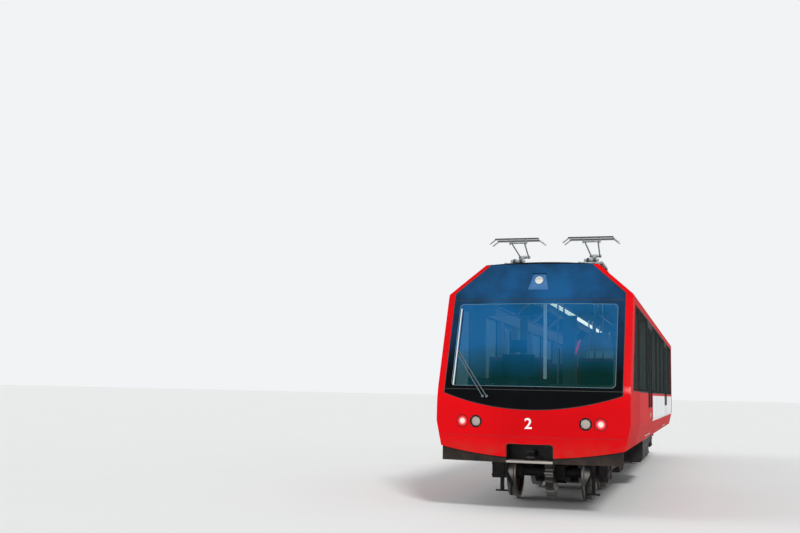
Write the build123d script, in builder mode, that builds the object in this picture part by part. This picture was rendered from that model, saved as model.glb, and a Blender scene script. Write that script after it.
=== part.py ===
from build123d import *
from math import asin, atan2, cos, degrees, hypot, pi, radians, sin, sqrt, tan
import os

os.makedirs("parts", exist_ok=True)

# Leading motor car of a metre-gauge rack railway train, at its real size in millimetres.
# X runs across, Y from the nose (-Y) to the coupled end (+Y), Z up from the tips of the wheel flanges.
# Distances called "aft" are measured back from the tip of the nose.

# Body shell
BODY_LENGTH = 15000
HALF_WIDTH = 1250
SKIRT_HALF = 1180
SKIRT_Z = 815
TUCK_Z = 1130
CANT_Z = 2850
ROOF_HALF = 775
ROOF_Z = 3280
ROOF_CROWN = 30
INNER_HALF = 1130
ROOF_WALL = 60
RING_AFT = 1400
CONTACT = 0.3

# Nose: a face turned about an upright axis, vertical at the apron and raked back above it
NOSE_RADIUS = 6000
BREAK_Z = 1458
SCREEN_TILT = 22.7
HEAD_BREAK_Z = 2790
HEAD_TILT = 32
BREAK_FILLET = 900
SHELL = 60
APRON_CENTRE_Z = 695
APRON_SEAM_Z = 960
CAB_LENGTH = 2000
FRAME_X = 1155
FRAME_CHAMFER = 55
FLANK = 440

# Glazing
PANE = 12
LEDGE = 40
MASK_CORNER_Z = 1500
MASK_CENTRE_Z = 1300
SCREEN_LOW_Z = 1553
SCREEN_HIGH_Z = 2757
PANE_GAP = 3
GLASS_LOW_Z = 1570
GLASS_HIGH_Z = 2740
HEADER_Z = 2760
SIDE_GLASS = 8
PILLAR = 60
PANE_SPLIT = 15
SKYLIGHT_COUNT = 7
SKYLIGHT_GAP = 70
SKYLIGHT_WIDTH = 430

# Front lamps, coupler opening and skirt
LAMP_RADIUS = 80
LENS_RADIUS = 60
RED_LAMP_X = 888
WHITE_LAMP_X = 703
LAMP_Z = 1140
HEADLAMP_Z = 3041
HEADLAMP_RADIUS = 55
TRAY_LOW_Z = 2904
TRAY_HIGH_Z = 3143
TRAY_LOW_HALF = 147
TRAY_HIGH_HALF = 90
LENS_INSET = 8
LENS_BACK = 45
BEZEL_PROUD = 3
TRAY_INSET = 22
OPENING_HALF = 300
OPENING_Z = 868
OPENING_CUT = 300
OPENING_CORNER = 40
POCKET_LOW_Z = 645
POCKET_AFT = 430
SKIRT_LOW_Z = 632
SKIRT_INSET = 15
SKIRT_LOW_HALF = 1160
WIPER_INNER = 14
WIPER_OUTER = 32

# Doors: the first is placed from the nose, the second from the coupled end
DOOR_WIDTH = 1300
DOOR_AFT = (4050, BODY_LENGTH - 4550)
DOORS = [(start, start + DOOR_WIDTH) for start in DOOR_AFT]
DOOR_LOW_Z = 885
DOOR_HIGH_Z = 2725
DOOR_THICK = 45
DOOR_LEDGE = 25
DOOR_GAP = 6
LEAF_GAP = 8
DOOR_WINDOW_LOW_Z = 1320
DOOR_FRAME = 90
DOOR_GLASS = 6

# Saloon
REAR_SHELL_AFT = BODY_LENGTH - 380
REAR_WALL = 80
SILL_INNER = 1010
UNDERFRAME_Z = 960
FLOOR_Z = 1000
SEAT_PITCH = 800
SEAT_DEPTH = 575
SEAT_MARGIN = 250
CAB_MARGIN = 350
SEAT_POST = (30, 200)
SEAT_INNER = 270
SEAT_OUTER = 1125
POLE_X = 400
POLE_MARGIN = 50
POLE_RADIUS = 17

# Running gear
GAUGE_BACK = 465
TREAD_RADIUS = 365
FLANGE_DEPTH = 28
AXLE_Z = TREAD_RADIUS + FLANGE_DEPTH
AXLE_RADIUS = 70
JOURNAL_RADIUS = 60
JOURNAL_END = 790
RUNNING_GAP = 0.08
WHEELBASE = 2000
BOGIE_AFT = (3000, BODY_LENGTH - 3000)
FRAME_INNER = 700
FRAME_OUTER = 820
FRAME_TOP_Z = 690
FRAME_LOW_Z = 560
FRAME_WAIST_Z = 610
FRAME_BELLY_Z = 430
FRAME_END = 1480
FRAME_TIP = 90
WAIST_HALF = 300
WAIST_RAMP = 120
LEG_GUSSET = 60
LEG_REACH = 235
LEG_WIDTH = 60
LEG_LOW_Z = 300
PIN_RADIUS = 60
PIN_LOW_Z = 500
HUB_RADIUS = 150
TRANSOM_HALF = 130
AXLE_BOX_HALF = 110
BELLOWS_RADIUS = 150
BELLOWS_BULGE = 26
BELLOWS_PLATE = 20
SHOE_GAP = 8
PINION_TEETH = 20
RACK_PITCH = 100
PINION_WIDTH = 120

# Current collectors, side by side on the roof
COLLECTOR_AFT = 2150
COLLECTOR_X = 550
PIVOT_Z = 3490
ARM_LENGTH = 600
ARM_RISE = 13.5
ARM_RADIUS = 20
HEAD_HALF = 330

# Coupled end
DRAWBAR_REACH = 360
DRAWBAR_Z = 740

NOSE_Y = -(BODY_LENGTH + DRAWBAR_REACH) / 2
CHAMFER_WIDTH = HALF_WIDTH - ROOF_HALF
CHAMFER_RISE = ROOF_Z - CANT_Z
CHAMFER_SLOPE = CHAMFER_RISE / CHAMFER_WIDTH
CHAMFER_STRETCH = hypot(CHAMFER_WIDTH, CHAMFER_RISE) / CHAMFER_WIDTH
CEILING_Z = ROOF_Z - ROOF_WALL * CHAMFER_STRETCH
SHOULDER_Z = CANT_Z + (HALF_WIDTH - INNER_HALF) * CHAMFER_SLOPE - ROOF_WALL * CHAMFER_STRETCH
SIDES = {"left": -1, "right": 1}


def aft(distance):
    """Y of a place that lies so far behind the tip of the nose."""
    return NOSE_Y + distance


def section_plane(distance):
    """Upright plane across the car, X to the right and Z up, facing the nose."""
    return Plane.XZ.offset(-aft(distance))


def block(low, high, mode=Mode.ADD):
    """Square block between two corners, each an (x, aft, z)."""
    size = [b - a for a, b in zip(low, high)]
    middle = [(a + b) / 2 for a, b in zip(low, high)]
    with Locations((middle[0], aft(middle[1]), middle[2])):
        Box(*size, mode=mode)


def rod(start, end, radius, mode=Mode.ADD):
    """Round bar from one (x, aft, z) to another."""
    first = Vector(start[0], aft(start[1]), start[2])
    along = Vector(end[0], aft(end[1]), end[2]) - first
    with BuildSketch(Plane(origin=first, z_dir=along)) as end_face:
        Circle(radius)
    extrude(end_face.sketch, amount=along.length, mode=mode)


def skirt_x(z):
    """Half width of the body's outside at a height below the tuck."""
    return SKIRT_HALF + (HALF_WIDTH - SKIRT_HALF) * (z - SKIRT_Z) / (TUCK_Z - SKIRT_Z)


def face_depth(z):
    """How far the face lies behind the nose's tip at a height, on the centre line."""
    if z <= BREAK_Z:
        return 0
    depth = tan(radians(SCREEN_TILT)) * (min(z, HEAD_BREAK_Z) - BREAK_Z)
    return depth + tan(radians(HEAD_TILT)) * max(0, z - HEAD_BREAK_Z)


def face_aft(x, z):
    """How far the face lies behind the nose's tip at a place."""
    radius = NOSE_RADIUS - face_depth(z)
    return NOSE_RADIUS - sqrt(radius**2 - x**2)


def nose_solid(inset):
    """Everything behind the face, with the face set in by so much."""
    screen, head = radians(SCREEN_TILT), radians(HEAD_TILT)
    low_break = BREAK_Z + inset * (1 - 1 / cos(screen)) / tan(screen)
    high_break = HEAD_BREAK_Z + inset * (1 / cos(head) - 1 / cos(screen)) / (tan(screen) - tan(head))
    top_z = ROOF_Z + 2 * ROOF_CROWN
    rows = (
        (inset, 0),
        (inset, low_break),
        (face_depth(high_break) + inset / cos(screen), high_break),
        (face_depth(top_z) + inset / cos(head), top_z),
    )
    with BuildPart() as nose:
        with BuildSketch(Plane((0, aft(NOSE_RADIUS), 0), x_dir=(0, 1, 0), z_dir=(1, 0, 0))):
            with BuildLine():
                Polyline((0, 0), *[(NOSE_RADIUS - depth, z) for depth, z in rows], (0, top_z), close=True)
            make_face()
            corner = vertices().sort_by_distance((NOSE_RADIUS - inset, low_break, 0))[0]
            fillet(corner, radius=BREAK_FILLET - inset)
        revolve(axis=Axis((0, aft(NOSE_RADIUS), 0), (0, 0, 1)))
    return nose.part


def skin(region, inner, outer, reach=1500):
    """The part of a face layer that a region, drawn in front view, cuts out of it."""
    with BuildPart() as layer:
        with BuildSketch(section_plane(-100)):
            add(region)
        extrude(amount=-reach)
        add(NOSE[outer], mode=Mode.INTERSECT)
        add(NOSE[inner], mode=Mode.SUBTRACT)
    return layer.part


def outline_sketch(low_z):
    """Cross-section of the car body, carried straight down from the skirt's edge to low_z."""
    foot = [(SKIRT_HALF, low_z), (-SKIRT_HALF, low_z)] if low_z < SKIRT_Z else []
    with BuildSketch() as outline:
        with BuildLine():
            crown = ThreePointArc((-ROOF_HALF, ROOF_Z), (0, ROOF_Z + ROOF_CROWN), (ROOF_HALF, ROOF_Z))
            Polyline(
                crown @ 1, (HALF_WIDTH, CANT_Z), (HALF_WIDTH, TUCK_Z), (SKIRT_HALF, SKIRT_Z), *foot,
                (-SKIRT_HALF, SKIRT_Z), (-HALF_WIDTH, TUCK_Z), (-HALF_WIDTH, CANT_Z), crown @ 0,
            )
        make_face()
    return outline.sketch


def inside_sketch(low_z, gap=0):
    """Cross-section of the room inside the body, drawn in by a gap."""
    half, ceiling = INNER_HALF - gap, CEILING_Z - gap
    with BuildSketch() as inside:
        with BuildLine():
            Polyline(
                (-half, low_z), (half, low_z), (half, SHOULDER_Z - gap), (ROOF_HALF - gap, ceiling),
                (-ROOF_HALF + gap, ceiling), (-half, SHOULDER_Z - gap), close=True,
            )
        make_face()
    return inside.sketch


def apron_arc(drop=0):
    """Region below the apron's curved lower edge."""
    edge = SKIRT_Z - drop
    with BuildSketch() as below:
        with BuildLine():
            arc = ThreePointArc((-SKIRT_HALF, edge), (0, APRON_CENTRE_Z - drop), (SKIRT_HALF, edge))
            Polyline(
                arc @ 1, (HALF_WIDTH, edge), (HALF_WIDTH, 0), (-HALF_WIDTH, 0), (-HALF_WIDTH, edge), arc @ 0,
            )
        make_face()
    return below.sketch


def face_region(low_z, high_z, gap=0):
    """The dark part of the face between two heights, inside the painted frame."""
    shoulder = CANT_Z + (HALF_WIDTH - FRAME_X) * CHAMFER_SLOPE - FRAME_CHAMFER * CHAMFER_STRETCH
    top_z = ROOF_Z + 3 * ROOF_CROWN
    top_x = FRAME_X - (top_z - shoulder) / CHAMFER_SLOPE
    with BuildSketch() as region:
        with BuildLine():
            arc = ThreePointArc((-FRAME_X, MASK_CORNER_Z), (0, MASK_CENTRE_Z), (FRAME_X, MASK_CORNER_Z))
            Polyline(
                arc @ 1, (FRAME_X, shoulder), (top_x, top_z), (-top_x, top_z), (-FRAME_X, shoulder), arc @ 0,
            )
        make_face()
        if gap:
            offset(amount=-gap, kind=Kind.INTERSECTION)
        with BuildLine():
            Polyline((-FRAME_X, low_z), (FRAME_X, low_z), (FRAME_X, high_z), (-FRAME_X, high_z), close=True)
        make_face(mode=Mode.INTERSECT)
    return region.sketch


def tray_sketch():
    """Outline of the headlamp's recess in front view."""
    with BuildSketch() as tray:
        with BuildLine():
            Polyline(
                (-TRAY_LOW_HALF, TRAY_LOW_Z), (TRAY_LOW_HALF, TRAY_LOW_Z), (TRAY_HIGH_HALF, TRAY_HIGH_Z),
                (-TRAY_HIGH_HALF, TRAY_HIGH_Z), close=True,
            )
        make_face()
    return tray.sketch


def cab_window(inset=0):
    """Cab side window in side view, its front edge parallel to the raked face."""
    low, high = GLASS_LOW_Z + inset, GLASS_HIGH_Z - inset
    front = [aft(face_aft(HALF_WIDTH, z) + FLANK + inset) for z in (low, high)]
    rear = aft(CAB_LENGTH - 25 - inset)
    with BuildSketch() as window:
        with BuildLine():
            Polyline((front[0], low), (rear, low), (rear, high), (front[1], high), close=True)
        make_face()
    return window.sketch


def bay(start, end, low, high, inset=0):
    """Rectangle in side view between two distances aft and two heights, drawn in by an inset."""
    with BuildSketch() as opening:
        with Locations((aft((start + end) / 2), (low + high) / 2)):
            Rectangle(end - start - 2 * inset, high - low - 2 * inset)
    return opening.sketch


def side_cut(region, side, inner_x, depth=400):
    """Cutter from inner_x outwards with the outline of a side-view region."""
    with BuildPart() as cutter:
        with BuildSketch(Plane.YZ.offset(side * inner_x)):
            add(region)
        extrude(amount=side * depth)
    return cutter.part


def side_panes(regions, side, thickness):
    """Flat panes set flush in the body side."""
    with BuildPart() as panes:
        with BuildSketch(Plane.YZ.offset(side * HALF_WIDTH)):
            for region in regions:
                add(region)
        extrude(amount=-side * thickness)
    return panes.part


INSETS = (
    -WIPER_OUTER, -WIPER_INNER, -BEZEL_PROUD, 0, LENS_INSET, PANE, SKIRT_INSET, TRAY_INSET, LENS_BACK, SHELL,
)
NOSE = {inset: nose_solid(inset) for inset in INSETS}

# Cab shell: painted portal frame and flanks, with the apron below its seam
with BuildPart() as cab_space:
    with BuildSketch(section_plane(-100)):
        add(inside_sketch(0))
    extrude(amount=-(CAB_LENGTH + 200))
    add(NOSE[SHELL], mode=Mode.INTERSECT)

with BuildPart() as cab_form:
    with BuildSketch(section_plane(-100)):
        add(outline_sketch(APRON_CENTRE_Z - 50))
        add(apron_arc(), mode=Mode.SUBTRACT)
    extrude(amount=-(CAB_LENGTH + 100))
    add(NOSE[0], mode=Mode.INTERSECT)
    add(cab_space.part, mode=Mode.SUBTRACT)
    block(
        (-HALF_WIDTH - 10, RING_AFT, HEADER_Z), (HALF_WIDTH + 10, CAB_LENGTH + 10, ROOF_Z + 100),
        mode=Mode.SUBTRACT,
    )
    add(skin(face_region(0, ROOF_Z + 200), PANE, -BEZEL_PROUD), mode=Mode.SUBTRACT)
    with BuildSketch(section_plane(-100)):
        add(face_region(SCREEN_LOW_Z + LEDGE, SCREEN_HIGH_Z - LEDGE, gap=LEDGE))
        for side in SIDES.values():
            with Locations((side * RED_LAMP_X, LAMP_Z), (side * WHITE_LAMP_X, LAMP_Z)):
                Circle(LAMP_RADIUS)
        add(tray_sketch())
        with Locations((0, OPENING_Z - OPENING_CUT / 2)):
            RectangleRounded(2 * OPENING_HALF, OPENING_CUT, OPENING_CORNER)
    extrude(amount=-1200, mode=Mode.SUBTRACT)
    for side in SIDES.values():
        add(side_cut(cab_window(), side, HALF_WIDTH - SIDE_GLASS), mode=Mode.SUBTRACT)
        add(side_cut(cab_window(LEDGE), side, INNER_HALF - 10), mode=Mode.SUBTRACT)

with BuildPart() as cab_shell:
    add(cab_form.part)
    split(bisect_by=Plane.XY.offset(APRON_SEAM_Z), keep=Keep.TOP)
cab_shell.part.label = "cab_shell"
export_step(cab_shell.part, "parts/cab_shell.step")

with BuildPart() as apron:
    add(cab_form.part)
    split(bisect_by=Plane.XY.offset(APRON_SEAM_Z), keep=Keep.BOTTOM)
apron.part.label = "apron"
export_step(apron.part, "parts/apron.step")

# Dark face: lower mask, windscreen and head panel, flush in the frame
with BuildPart() as lower_mask:
    add(skin(face_region(0, SCREEN_LOW_Z - PANE_GAP), PANE, 0))
lower_mask.part.label = "lower_mask"
export_step(lower_mask.part, "parts/lower_mask.step")

with BuildPart() as windscreen:
    add(skin(face_region(SCREEN_LOW_Z, SCREEN_HIGH_Z), PANE, 0))
windscreen.part.label = "windscreen"
export_step(windscreen.part, "parts/windscreen.step")

with BuildPart() as head_panel:
    add(skin(face_region(SCREEN_HIGH_Z + PANE_GAP, ROOF_Z), PANE, 0))
    with BuildSketch(section_plane(-100)):
        add(tray_sketch())
    extrude(amount=-1200, mode=Mode.SUBTRACT)
head_panel.part.label = "head_panel"
export_step(head_panel.part, "parts/head_panel.step")

# Headlamp tray and the lamps of the apron
with BuildSketch() as tray_region:
    add(tray_sketch())
    offset(amount=-CONTACT, kind=Kind.INTERSECTION)
    with Locations((0, HEADLAMP_Z)):
        Circle(HEADLAMP_RADIUS + CONTACT, mode=Mode.SUBTRACT)
with BuildPart() as headlamp_tray:
    add(skin(tray_region.sketch, SHELL, TRAY_INSET))
headlamp_tray.part.label = "headlamp_tray"
export_step(headlamp_tray.part, "parts/headlamp_tray.step")

with BuildSketch() as bezel_region:
    for side in SIDES.values():
        with Locations((side * RED_LAMP_X, LAMP_Z), (side * WHITE_LAMP_X, LAMP_Z)):
            Circle(LAMP_RADIUS - CONTACT)
            Circle(LENS_RADIUS, mode=Mode.SUBTRACT)
with BuildPart() as lamp_bezels:
    add(skin(bezel_region.sketch, SHELL, -BEZEL_PROUD))
lamp_bezels.part.label = "lamp_bezels"
export_step(lamp_bezels.part, "parts/lamp_bezels.step")

with BuildSketch() as white_region:
    for side in SIDES.values():
        with Locations((side * WHITE_LAMP_X, LAMP_Z)):
            Circle(LENS_RADIUS - CONTACT)
    with Locations((0, HEADLAMP_Z)):
        Circle(HEADLAMP_RADIUS)
with BuildPart() as white_lamps:
    add(skin(white_region.sketch, LENS_BACK, LENS_INSET))
white_lamps.part.label = "white_lamps"
export_step(white_lamps.part, "parts/white_lamps.step")

with BuildSketch() as red_region:
    for side in SIDES.values():
        with Locations((side * RED_LAMP_X, LAMP_Z)):
            Circle(LENS_RADIUS - CONTACT)
with BuildPart() as red_lamps:
    add(skin(red_region.sketch, LENS_BACK, LENS_INSET))
red_lamps.part.label = "red_lamps"
export_step(red_lamps.part, "parts/red_lamps.step")

# Skirt below the apron, notched for the coupler
with BuildSketch() as skirt_region:
    add(apron_arc(CONTACT))
    with Locations((0, SKIRT_LOW_Z / 2)):
        Rectangle(3 * HALF_WIDTH, SKIRT_LOW_Z, mode=Mode.SUBTRACT)
    with Locations((0, OPENING_Z / 2)):
        Rectangle(2 * OPENING_HALF, OPENING_Z, mode=Mode.SUBTRACT)
        Rectangle(2 * SKIRT_LOW_HALF, OPENING_Z, mode=Mode.INTERSECT)
with BuildPart() as front_skirt:
    add(skin(skirt_region.sketch, LENS_BACK, SKIRT_INSET))
front_skirt.part.label = "front_skirt"
export_step(front_skirt.part, "parts/front_skirt.step")

# Coupler pocket with its lip, and the towing jaw inside
POCKET_START = SHELL + 20
POCKET_HALF = OPENING_HALF + 30
POCKET_WALL = 12
LIP_START = 12
LIP_SIDE = 2
JAW_AFT = 140
JAW_RADIUS = 20
JAW_HALF = 50
JAW_STEP = 40
JAW_PLATE = 24
SHANK_HALF = (40, 35)
with BuildPart() as coupler_pocket:
    block((-POCKET_HALF, POCKET_START, POCKET_LOW_Z), (POCKET_HALF, POCKET_AFT, OPENING_Z + POCKET_WALL))
    block(
        (-POCKET_HALF + POCKET_WALL, POCKET_START - 1, POCKET_LOW_Z + POCKET_WALL),
        (POCKET_HALF - POCKET_WALL, POCKET_AFT - POCKET_WALL, OPENING_Z),
        mode=Mode.SUBTRACT,
    )
    block(
        (-OPENING_HALF + LIP_SIDE, LIP_START, POCKET_LOW_Z),
        (OPENING_HALF - LIP_SIDE, POCKET_START, POCKET_LOW_Z + POCKET_WALL),
    )
    rod((0, JAW_AFT, POCKET_LOW_Z - 10), (0, JAW_AFT, POCKET_LOW_Z + 30), JAW_RADIUS + 10, mode=Mode.SUBTRACT)
coupler_pocket.part.label = "coupler_pocket"
export_step(coupler_pocket.part, "parts/coupler_pocket.step")

with BuildPart() as towing_jaw:
    block(
        (-SHANK_HALF[0], JAW_AFT + JAW_HALF, DRAWBAR_Z - SHANK_HALF[1]),
        (SHANK_HALF[0], POCKET_AFT - POCKET_WALL, DRAWBAR_Z + SHANK_HALF[1]),
    )
    for step in (-JAW_STEP, JAW_STEP):
        block(
            (-JAW_HALF, JAW_AFT - JAW_STEP, DRAWBAR_Z + step - JAW_PLATE / 2),
            (JAW_HALF, JAW_AFT + JAW_HALF + 10, DRAWBAR_Z + step + JAW_PLATE / 2),
        )
    with Locations((0, aft(JAW_AFT), DRAWBAR_Z)):
        Cylinder(JAW_RADIUS, 200, mode=Mode.SUBTRACT)
towing_jaw.part.label = "towing_jaw"
export_step(towing_jaw.part, "parts/towing_jaw.step")

# Wiper: long blade hung from two parallel arms
BLADE_X = -1030
BLADE_Z = (1600, 2640)
ARM_PIVOTS = ((-615, 1463), (-560, 1463))
ARM_TIP_Z = 2030
BLADE_WIDTH = 16
BLADE_EDGE = 5
WIPER_ARM = 9
WIPER_CAP = 17
WIPER_PEG = 12
with BuildSketch() as wiper_region:
    with Locations((BLADE_X, sum(BLADE_Z) / 2)):
        Rectangle(BLADE_WIDTH, BLADE_Z[1] - BLADE_Z[0])
    for x, z in ARM_PIVOTS:
        tip = (BLADE_X, ARM_TIP_Z + x - ARM_PIVOTS[0][0])
        slant = degrees(atan2(tip[1] - z, tip[0] - x))
        with Locations(((x + tip[0]) / 2, (z + tip[1]) / 2)):
            Rectangle(hypot(x - tip[0], z - tip[1]), WIPER_ARM, rotation=slant)
        with Locations((x, z)):
            Circle(WIPER_CAP)
with BuildSketch() as wiper_pegs:
    with Locations(*ARM_PIVOTS):
        Circle(WIPER_PEG)
    with Locations((BLADE_X, sum(BLADE_Z) / 2)):
        Rectangle(BLADE_EDGE, BLADE_Z[1] - BLADE_Z[0])
with BuildPart() as wiper:
    add(skin(wiper_region.sketch, -WIPER_INNER, -WIPER_OUTER))
    add(skin(wiper_pegs.sketch, 0, -WIPER_INNER))
wiper.part.label = "wiper"
export_step(wiper.part, "parts/wiper.step")


def wall_section(side):
    """Section of the saloon's side wall."""
    with BuildSketch() as section:
        with BuildLine():
            Polyline(
                (side * INNER_HALF, SKIRT_Z), (side * SKIRT_HALF, SKIRT_Z), (side * HALF_WIDTH, TUCK_Z),
                (side * HALF_WIDTH, HEADER_Z), (side * INNER_HALF, HEADER_Z), close=True,
            )
        make_face()
    return section.sketch


def door_section(side, low, high, outer=0):
    """Section of a door leaf; outer carries it past the body side, to cut its opening."""
    with BuildSketch() as section:
        with BuildLine():
            Polyline(
                (side * (skirt_x(low) - DOOR_THICK), low), (side * (skirt_x(low) + outer), low),
                (side * (HALF_WIDTH + outer), TUCK_Z), (side * (HALF_WIDTH + outer), high),
                (side * (HALF_WIDTH - DOOR_THICK), high), (side * (HALF_WIDTH - DOOR_THICK), TUCK_Z),
                close=True,
            )
        make_face()
    return section.sketch


def leaves():
    """Start and end of every door leaf, in distances aft."""
    for start, end in DOORS:
        middle = (start + end) / 2
        yield start + DOOR_GAP, middle - LEAF_GAP / 2
        yield middle + LEAF_GAP / 2, end - DOOR_GAP


def cant_section(side):
    """Section of the rail above the windows, with the sloped roof edge that holds the skylights."""
    with BuildSketch() as section:
        with BuildLine():
            Polyline(
                (side * INNER_HALF, HEADER_Z), (side * HALF_WIDTH, HEADER_Z), (side * HALF_WIDTH, CANT_Z),
                (side * ROOF_HALF, ROOF_Z), (side * ROOF_HALF, CEILING_Z), (side * INNER_HALF, SHOULDER_Z),
                close=True,
            )
        make_face()
    return section.sketch


def skylight_plane(side):
    """Plane on the sloped roof edge, its first direction along the car."""
    normal = Vector(side * CHAMFER_RISE, 0, CHAMFER_WIDTH).normalized()
    middle = (side * (HALF_WIDTH + ROOF_HALF) / 2, 0, (CANT_Z + ROOF_Z) / 2)
    return Plane(middle, x_dir=(0, 1, 0), z_dir=normal)


def window_bays():
    """Start and end of every pane of the saloon side, between the cab, the doorways and the coupled end."""
    zones = (
        (CAB_LENGTH + PILLAR / 2, DOORS[0][0] - PILLAR, 1),
        (DOORS[0][1] + PILLAR, DOORS[1][0] - PILLAR, 3),
        (DOORS[1][1] + PILLAR, REAR_SHELL_AFT - PILLAR / 2, 2),
    )
    for start, end, count in zones:
        pitch = (end - start + PANE_SPLIT) / count
        for i in range(count):
            yield start + i * pitch, start + (i + 1) * pitch - PANE_SPLIT


SKYLIGHT_PITCH = (REAR_SHELL_AFT - RING_AFT) / SKYLIGHT_COUNT
SKYLIGHT_CENTRES = [(aft(RING_AFT + SKYLIGHT_PITCH * (i + 0.5)), 0) for i in range(SKYLIGHT_COUNT)]
SKYLIGHT_LENGTH = SKYLIGHT_PITCH - SKYLIGHT_GAP

# Saloon sides: wall, panes, door leaves and cant rail of each side
for name, side in SIDES.items():
    with BuildPart() as side_wall:
        with BuildSketch(section_plane(CAB_LENGTH)):
            add(wall_section(side))
        extrude(amount=-(REAR_SHELL_AFT - CAB_LENGTH))
        for start, end in window_bays():
            pane = bay(start, end, GLASS_LOW_Z, GLASS_HIGH_Z)
            add(side_cut(pane, side, HALF_WIDTH - SIDE_GLASS), mode=Mode.SUBTRACT)
            hole = bay(start, end, GLASS_LOW_Z, GLASS_HIGH_Z, LEDGE)
            add(side_cut(hole, side, INNER_HALF - 10), mode=Mode.SUBTRACT)
        for start, end in DOORS:
            with BuildSketch(section_plane(start)):
                add(door_section(side, DOOR_LOW_Z - DOOR_GAP, DOOR_HIGH_Z + DOOR_GAP, outer=50))
            extrude(amount=-(end - start), mode=Mode.SUBTRACT)
            doorway = bay(start, end, DOOR_LOW_Z, DOOR_HIGH_Z, DOOR_LEDGE)
            add(side_cut(doorway, side, INNER_HALF - 10), mode=Mode.SUBTRACT)
    side_wall.part.label = "side_wall_" + name
    export_step(side_wall.part, f"parts/side_wall_{name}.step")

    panes = [bay(start, end, GLASS_LOW_Z, GLASS_HIGH_Z) for start, end in window_bays()]
    with BuildPart() as side_glass:
        add(side_panes([cab_window(), *panes], side, SIDE_GLASS))
    side_glass.part.label = "side_glass_" + name
    export_step(side_glass.part, f"parts/side_glass_{name}.step")

    with BuildPart() as doors:
        for start, end in leaves():
            with BuildSketch(section_plane(start)):
                add(door_section(side, DOOR_LOW_Z, DOOR_HIGH_Z))
            extrude(amount=-(end - start))
            window = bay(start + DOOR_FRAME, end - DOOR_FRAME, DOOR_WINDOW_LOW_Z, DOOR_HIGH_Z - DOOR_FRAME)
            add(side_cut(window, side, HALF_WIDTH - DOOR_GLASS), mode=Mode.SUBTRACT)
            hole = bay(
                start + DOOR_FRAME, end - DOOR_FRAME, DOOR_WINDOW_LOW_Z, DOOR_HIGH_Z - DOOR_FRAME, DOOR_LEDGE
            )
            add(side_cut(hole, side, INNER_HALF), mode=Mode.SUBTRACT)
    doors.part.label = "doors_" + name
    export_step(doors.part, f"parts/doors_{name}.step")

    with BuildPart() as cant_rail:
        with BuildSketch(section_plane(RING_AFT)):
            add(cant_section(side))
        extrude(amount=-(REAR_SHELL_AFT - RING_AFT))
        with BuildSketch(skylight_plane(side)):
            with Locations(*SKYLIGHT_CENTRES):
                Rectangle(SKYLIGHT_LENGTH, SKYLIGHT_WIDTH)
        extrude(amount=-PANE, mode=Mode.SUBTRACT)
        with BuildSketch(skylight_plane(side)):
            with Locations(*SKYLIGHT_CENTRES):
                Rectangle(SKYLIGHT_LENGTH - 2 * LEDGE, SKYLIGHT_WIDTH - 2 * LEDGE)
        extrude(amount=-3 * ROOF_WALL, mode=Mode.SUBTRACT)
    cant_rail.part.label = "cant_rail_" + name
    export_step(cant_rail.part, f"parts/cant_rail_{name}.step")

door_panes = [
    bay(start + DOOR_FRAME, end - DOOR_FRAME, DOOR_WINDOW_LOW_Z, DOOR_HIGH_Z - DOOR_FRAME)
    for start, end in leaves()
]
with BuildPart() as door_glass:
    for side in SIDES.values():
        add(side_panes(door_panes, side, DOOR_GLASS))
door_glass.part.label = "door_glass"
export_step(door_glass.part, "parts/door_glass.step")

with BuildPart() as skylights:
    for side in SIDES.values():
        with BuildSketch(skylight_plane(side)):
            with Locations(*SKYLIGHT_CENTRES):
                Rectangle(SKYLIGHT_LENGTH, SKYLIGHT_WIDTH)
        extrude(amount=-PANE)
skylights.part.label = "skylights"
export_step(skylights.part, "parts/skylights.step")

# Ribbed roof between the skylights, with the collectors' pads
RIB_COUNT = 9
RIB_PITCH = 150
RIB_WIDTH = 30
RIB_HEIGHT = 14
PAD_HALF = 50
PAD_Z = ROOF_Z + 42
BASE_HALF = 160
INSULATOR_X = [side * COLLECTOR_X + step for side in SIDES.values() for step in (-BASE_HALF, BASE_HALF)]
INSULATOR_AFT = (COLLECTOR_AFT - 90, COLLECTOR_AFT + 540)
with BuildPart() as roof:
    with BuildSketch(section_plane(RING_AFT)):
        with BuildLine():
            crown = ThreePointArc((-ROOF_HALF, ROOF_Z), (0, ROOF_Z + ROOF_CROWN), (ROOF_HALF, ROOF_Z))
            Polyline(crown @ 1, (ROOF_HALF, CEILING_Z), (-ROOF_HALF, CEILING_Z), crown @ 0)
        make_face()
        for i in range(RIB_COUNT):
            x = (i - (RIB_COUNT - 1) / 2) * RIB_PITCH
            top = ROOF_Z + ROOF_CROWN * (1 - (x / ROOF_HALF) ** 2) + RIB_HEIGHT
            with Locations((x, top - RIB_HEIGHT)):
                Rectangle(RIB_WIDTH, 2 * RIB_HEIGHT)
    extrude(amount=-(REAR_SHELL_AFT - RING_AFT))
    for x in INSULATOR_X:
        for y in INSULATOR_AFT:
            block((x - PAD_HALF, y - PAD_HALF, ROOF_Z - 10), (x + PAD_HALF, y + PAD_HALF, PAD_Z))
roof.part.label = "roof"
export_step(roof.part, "parts/roof.step")

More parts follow.
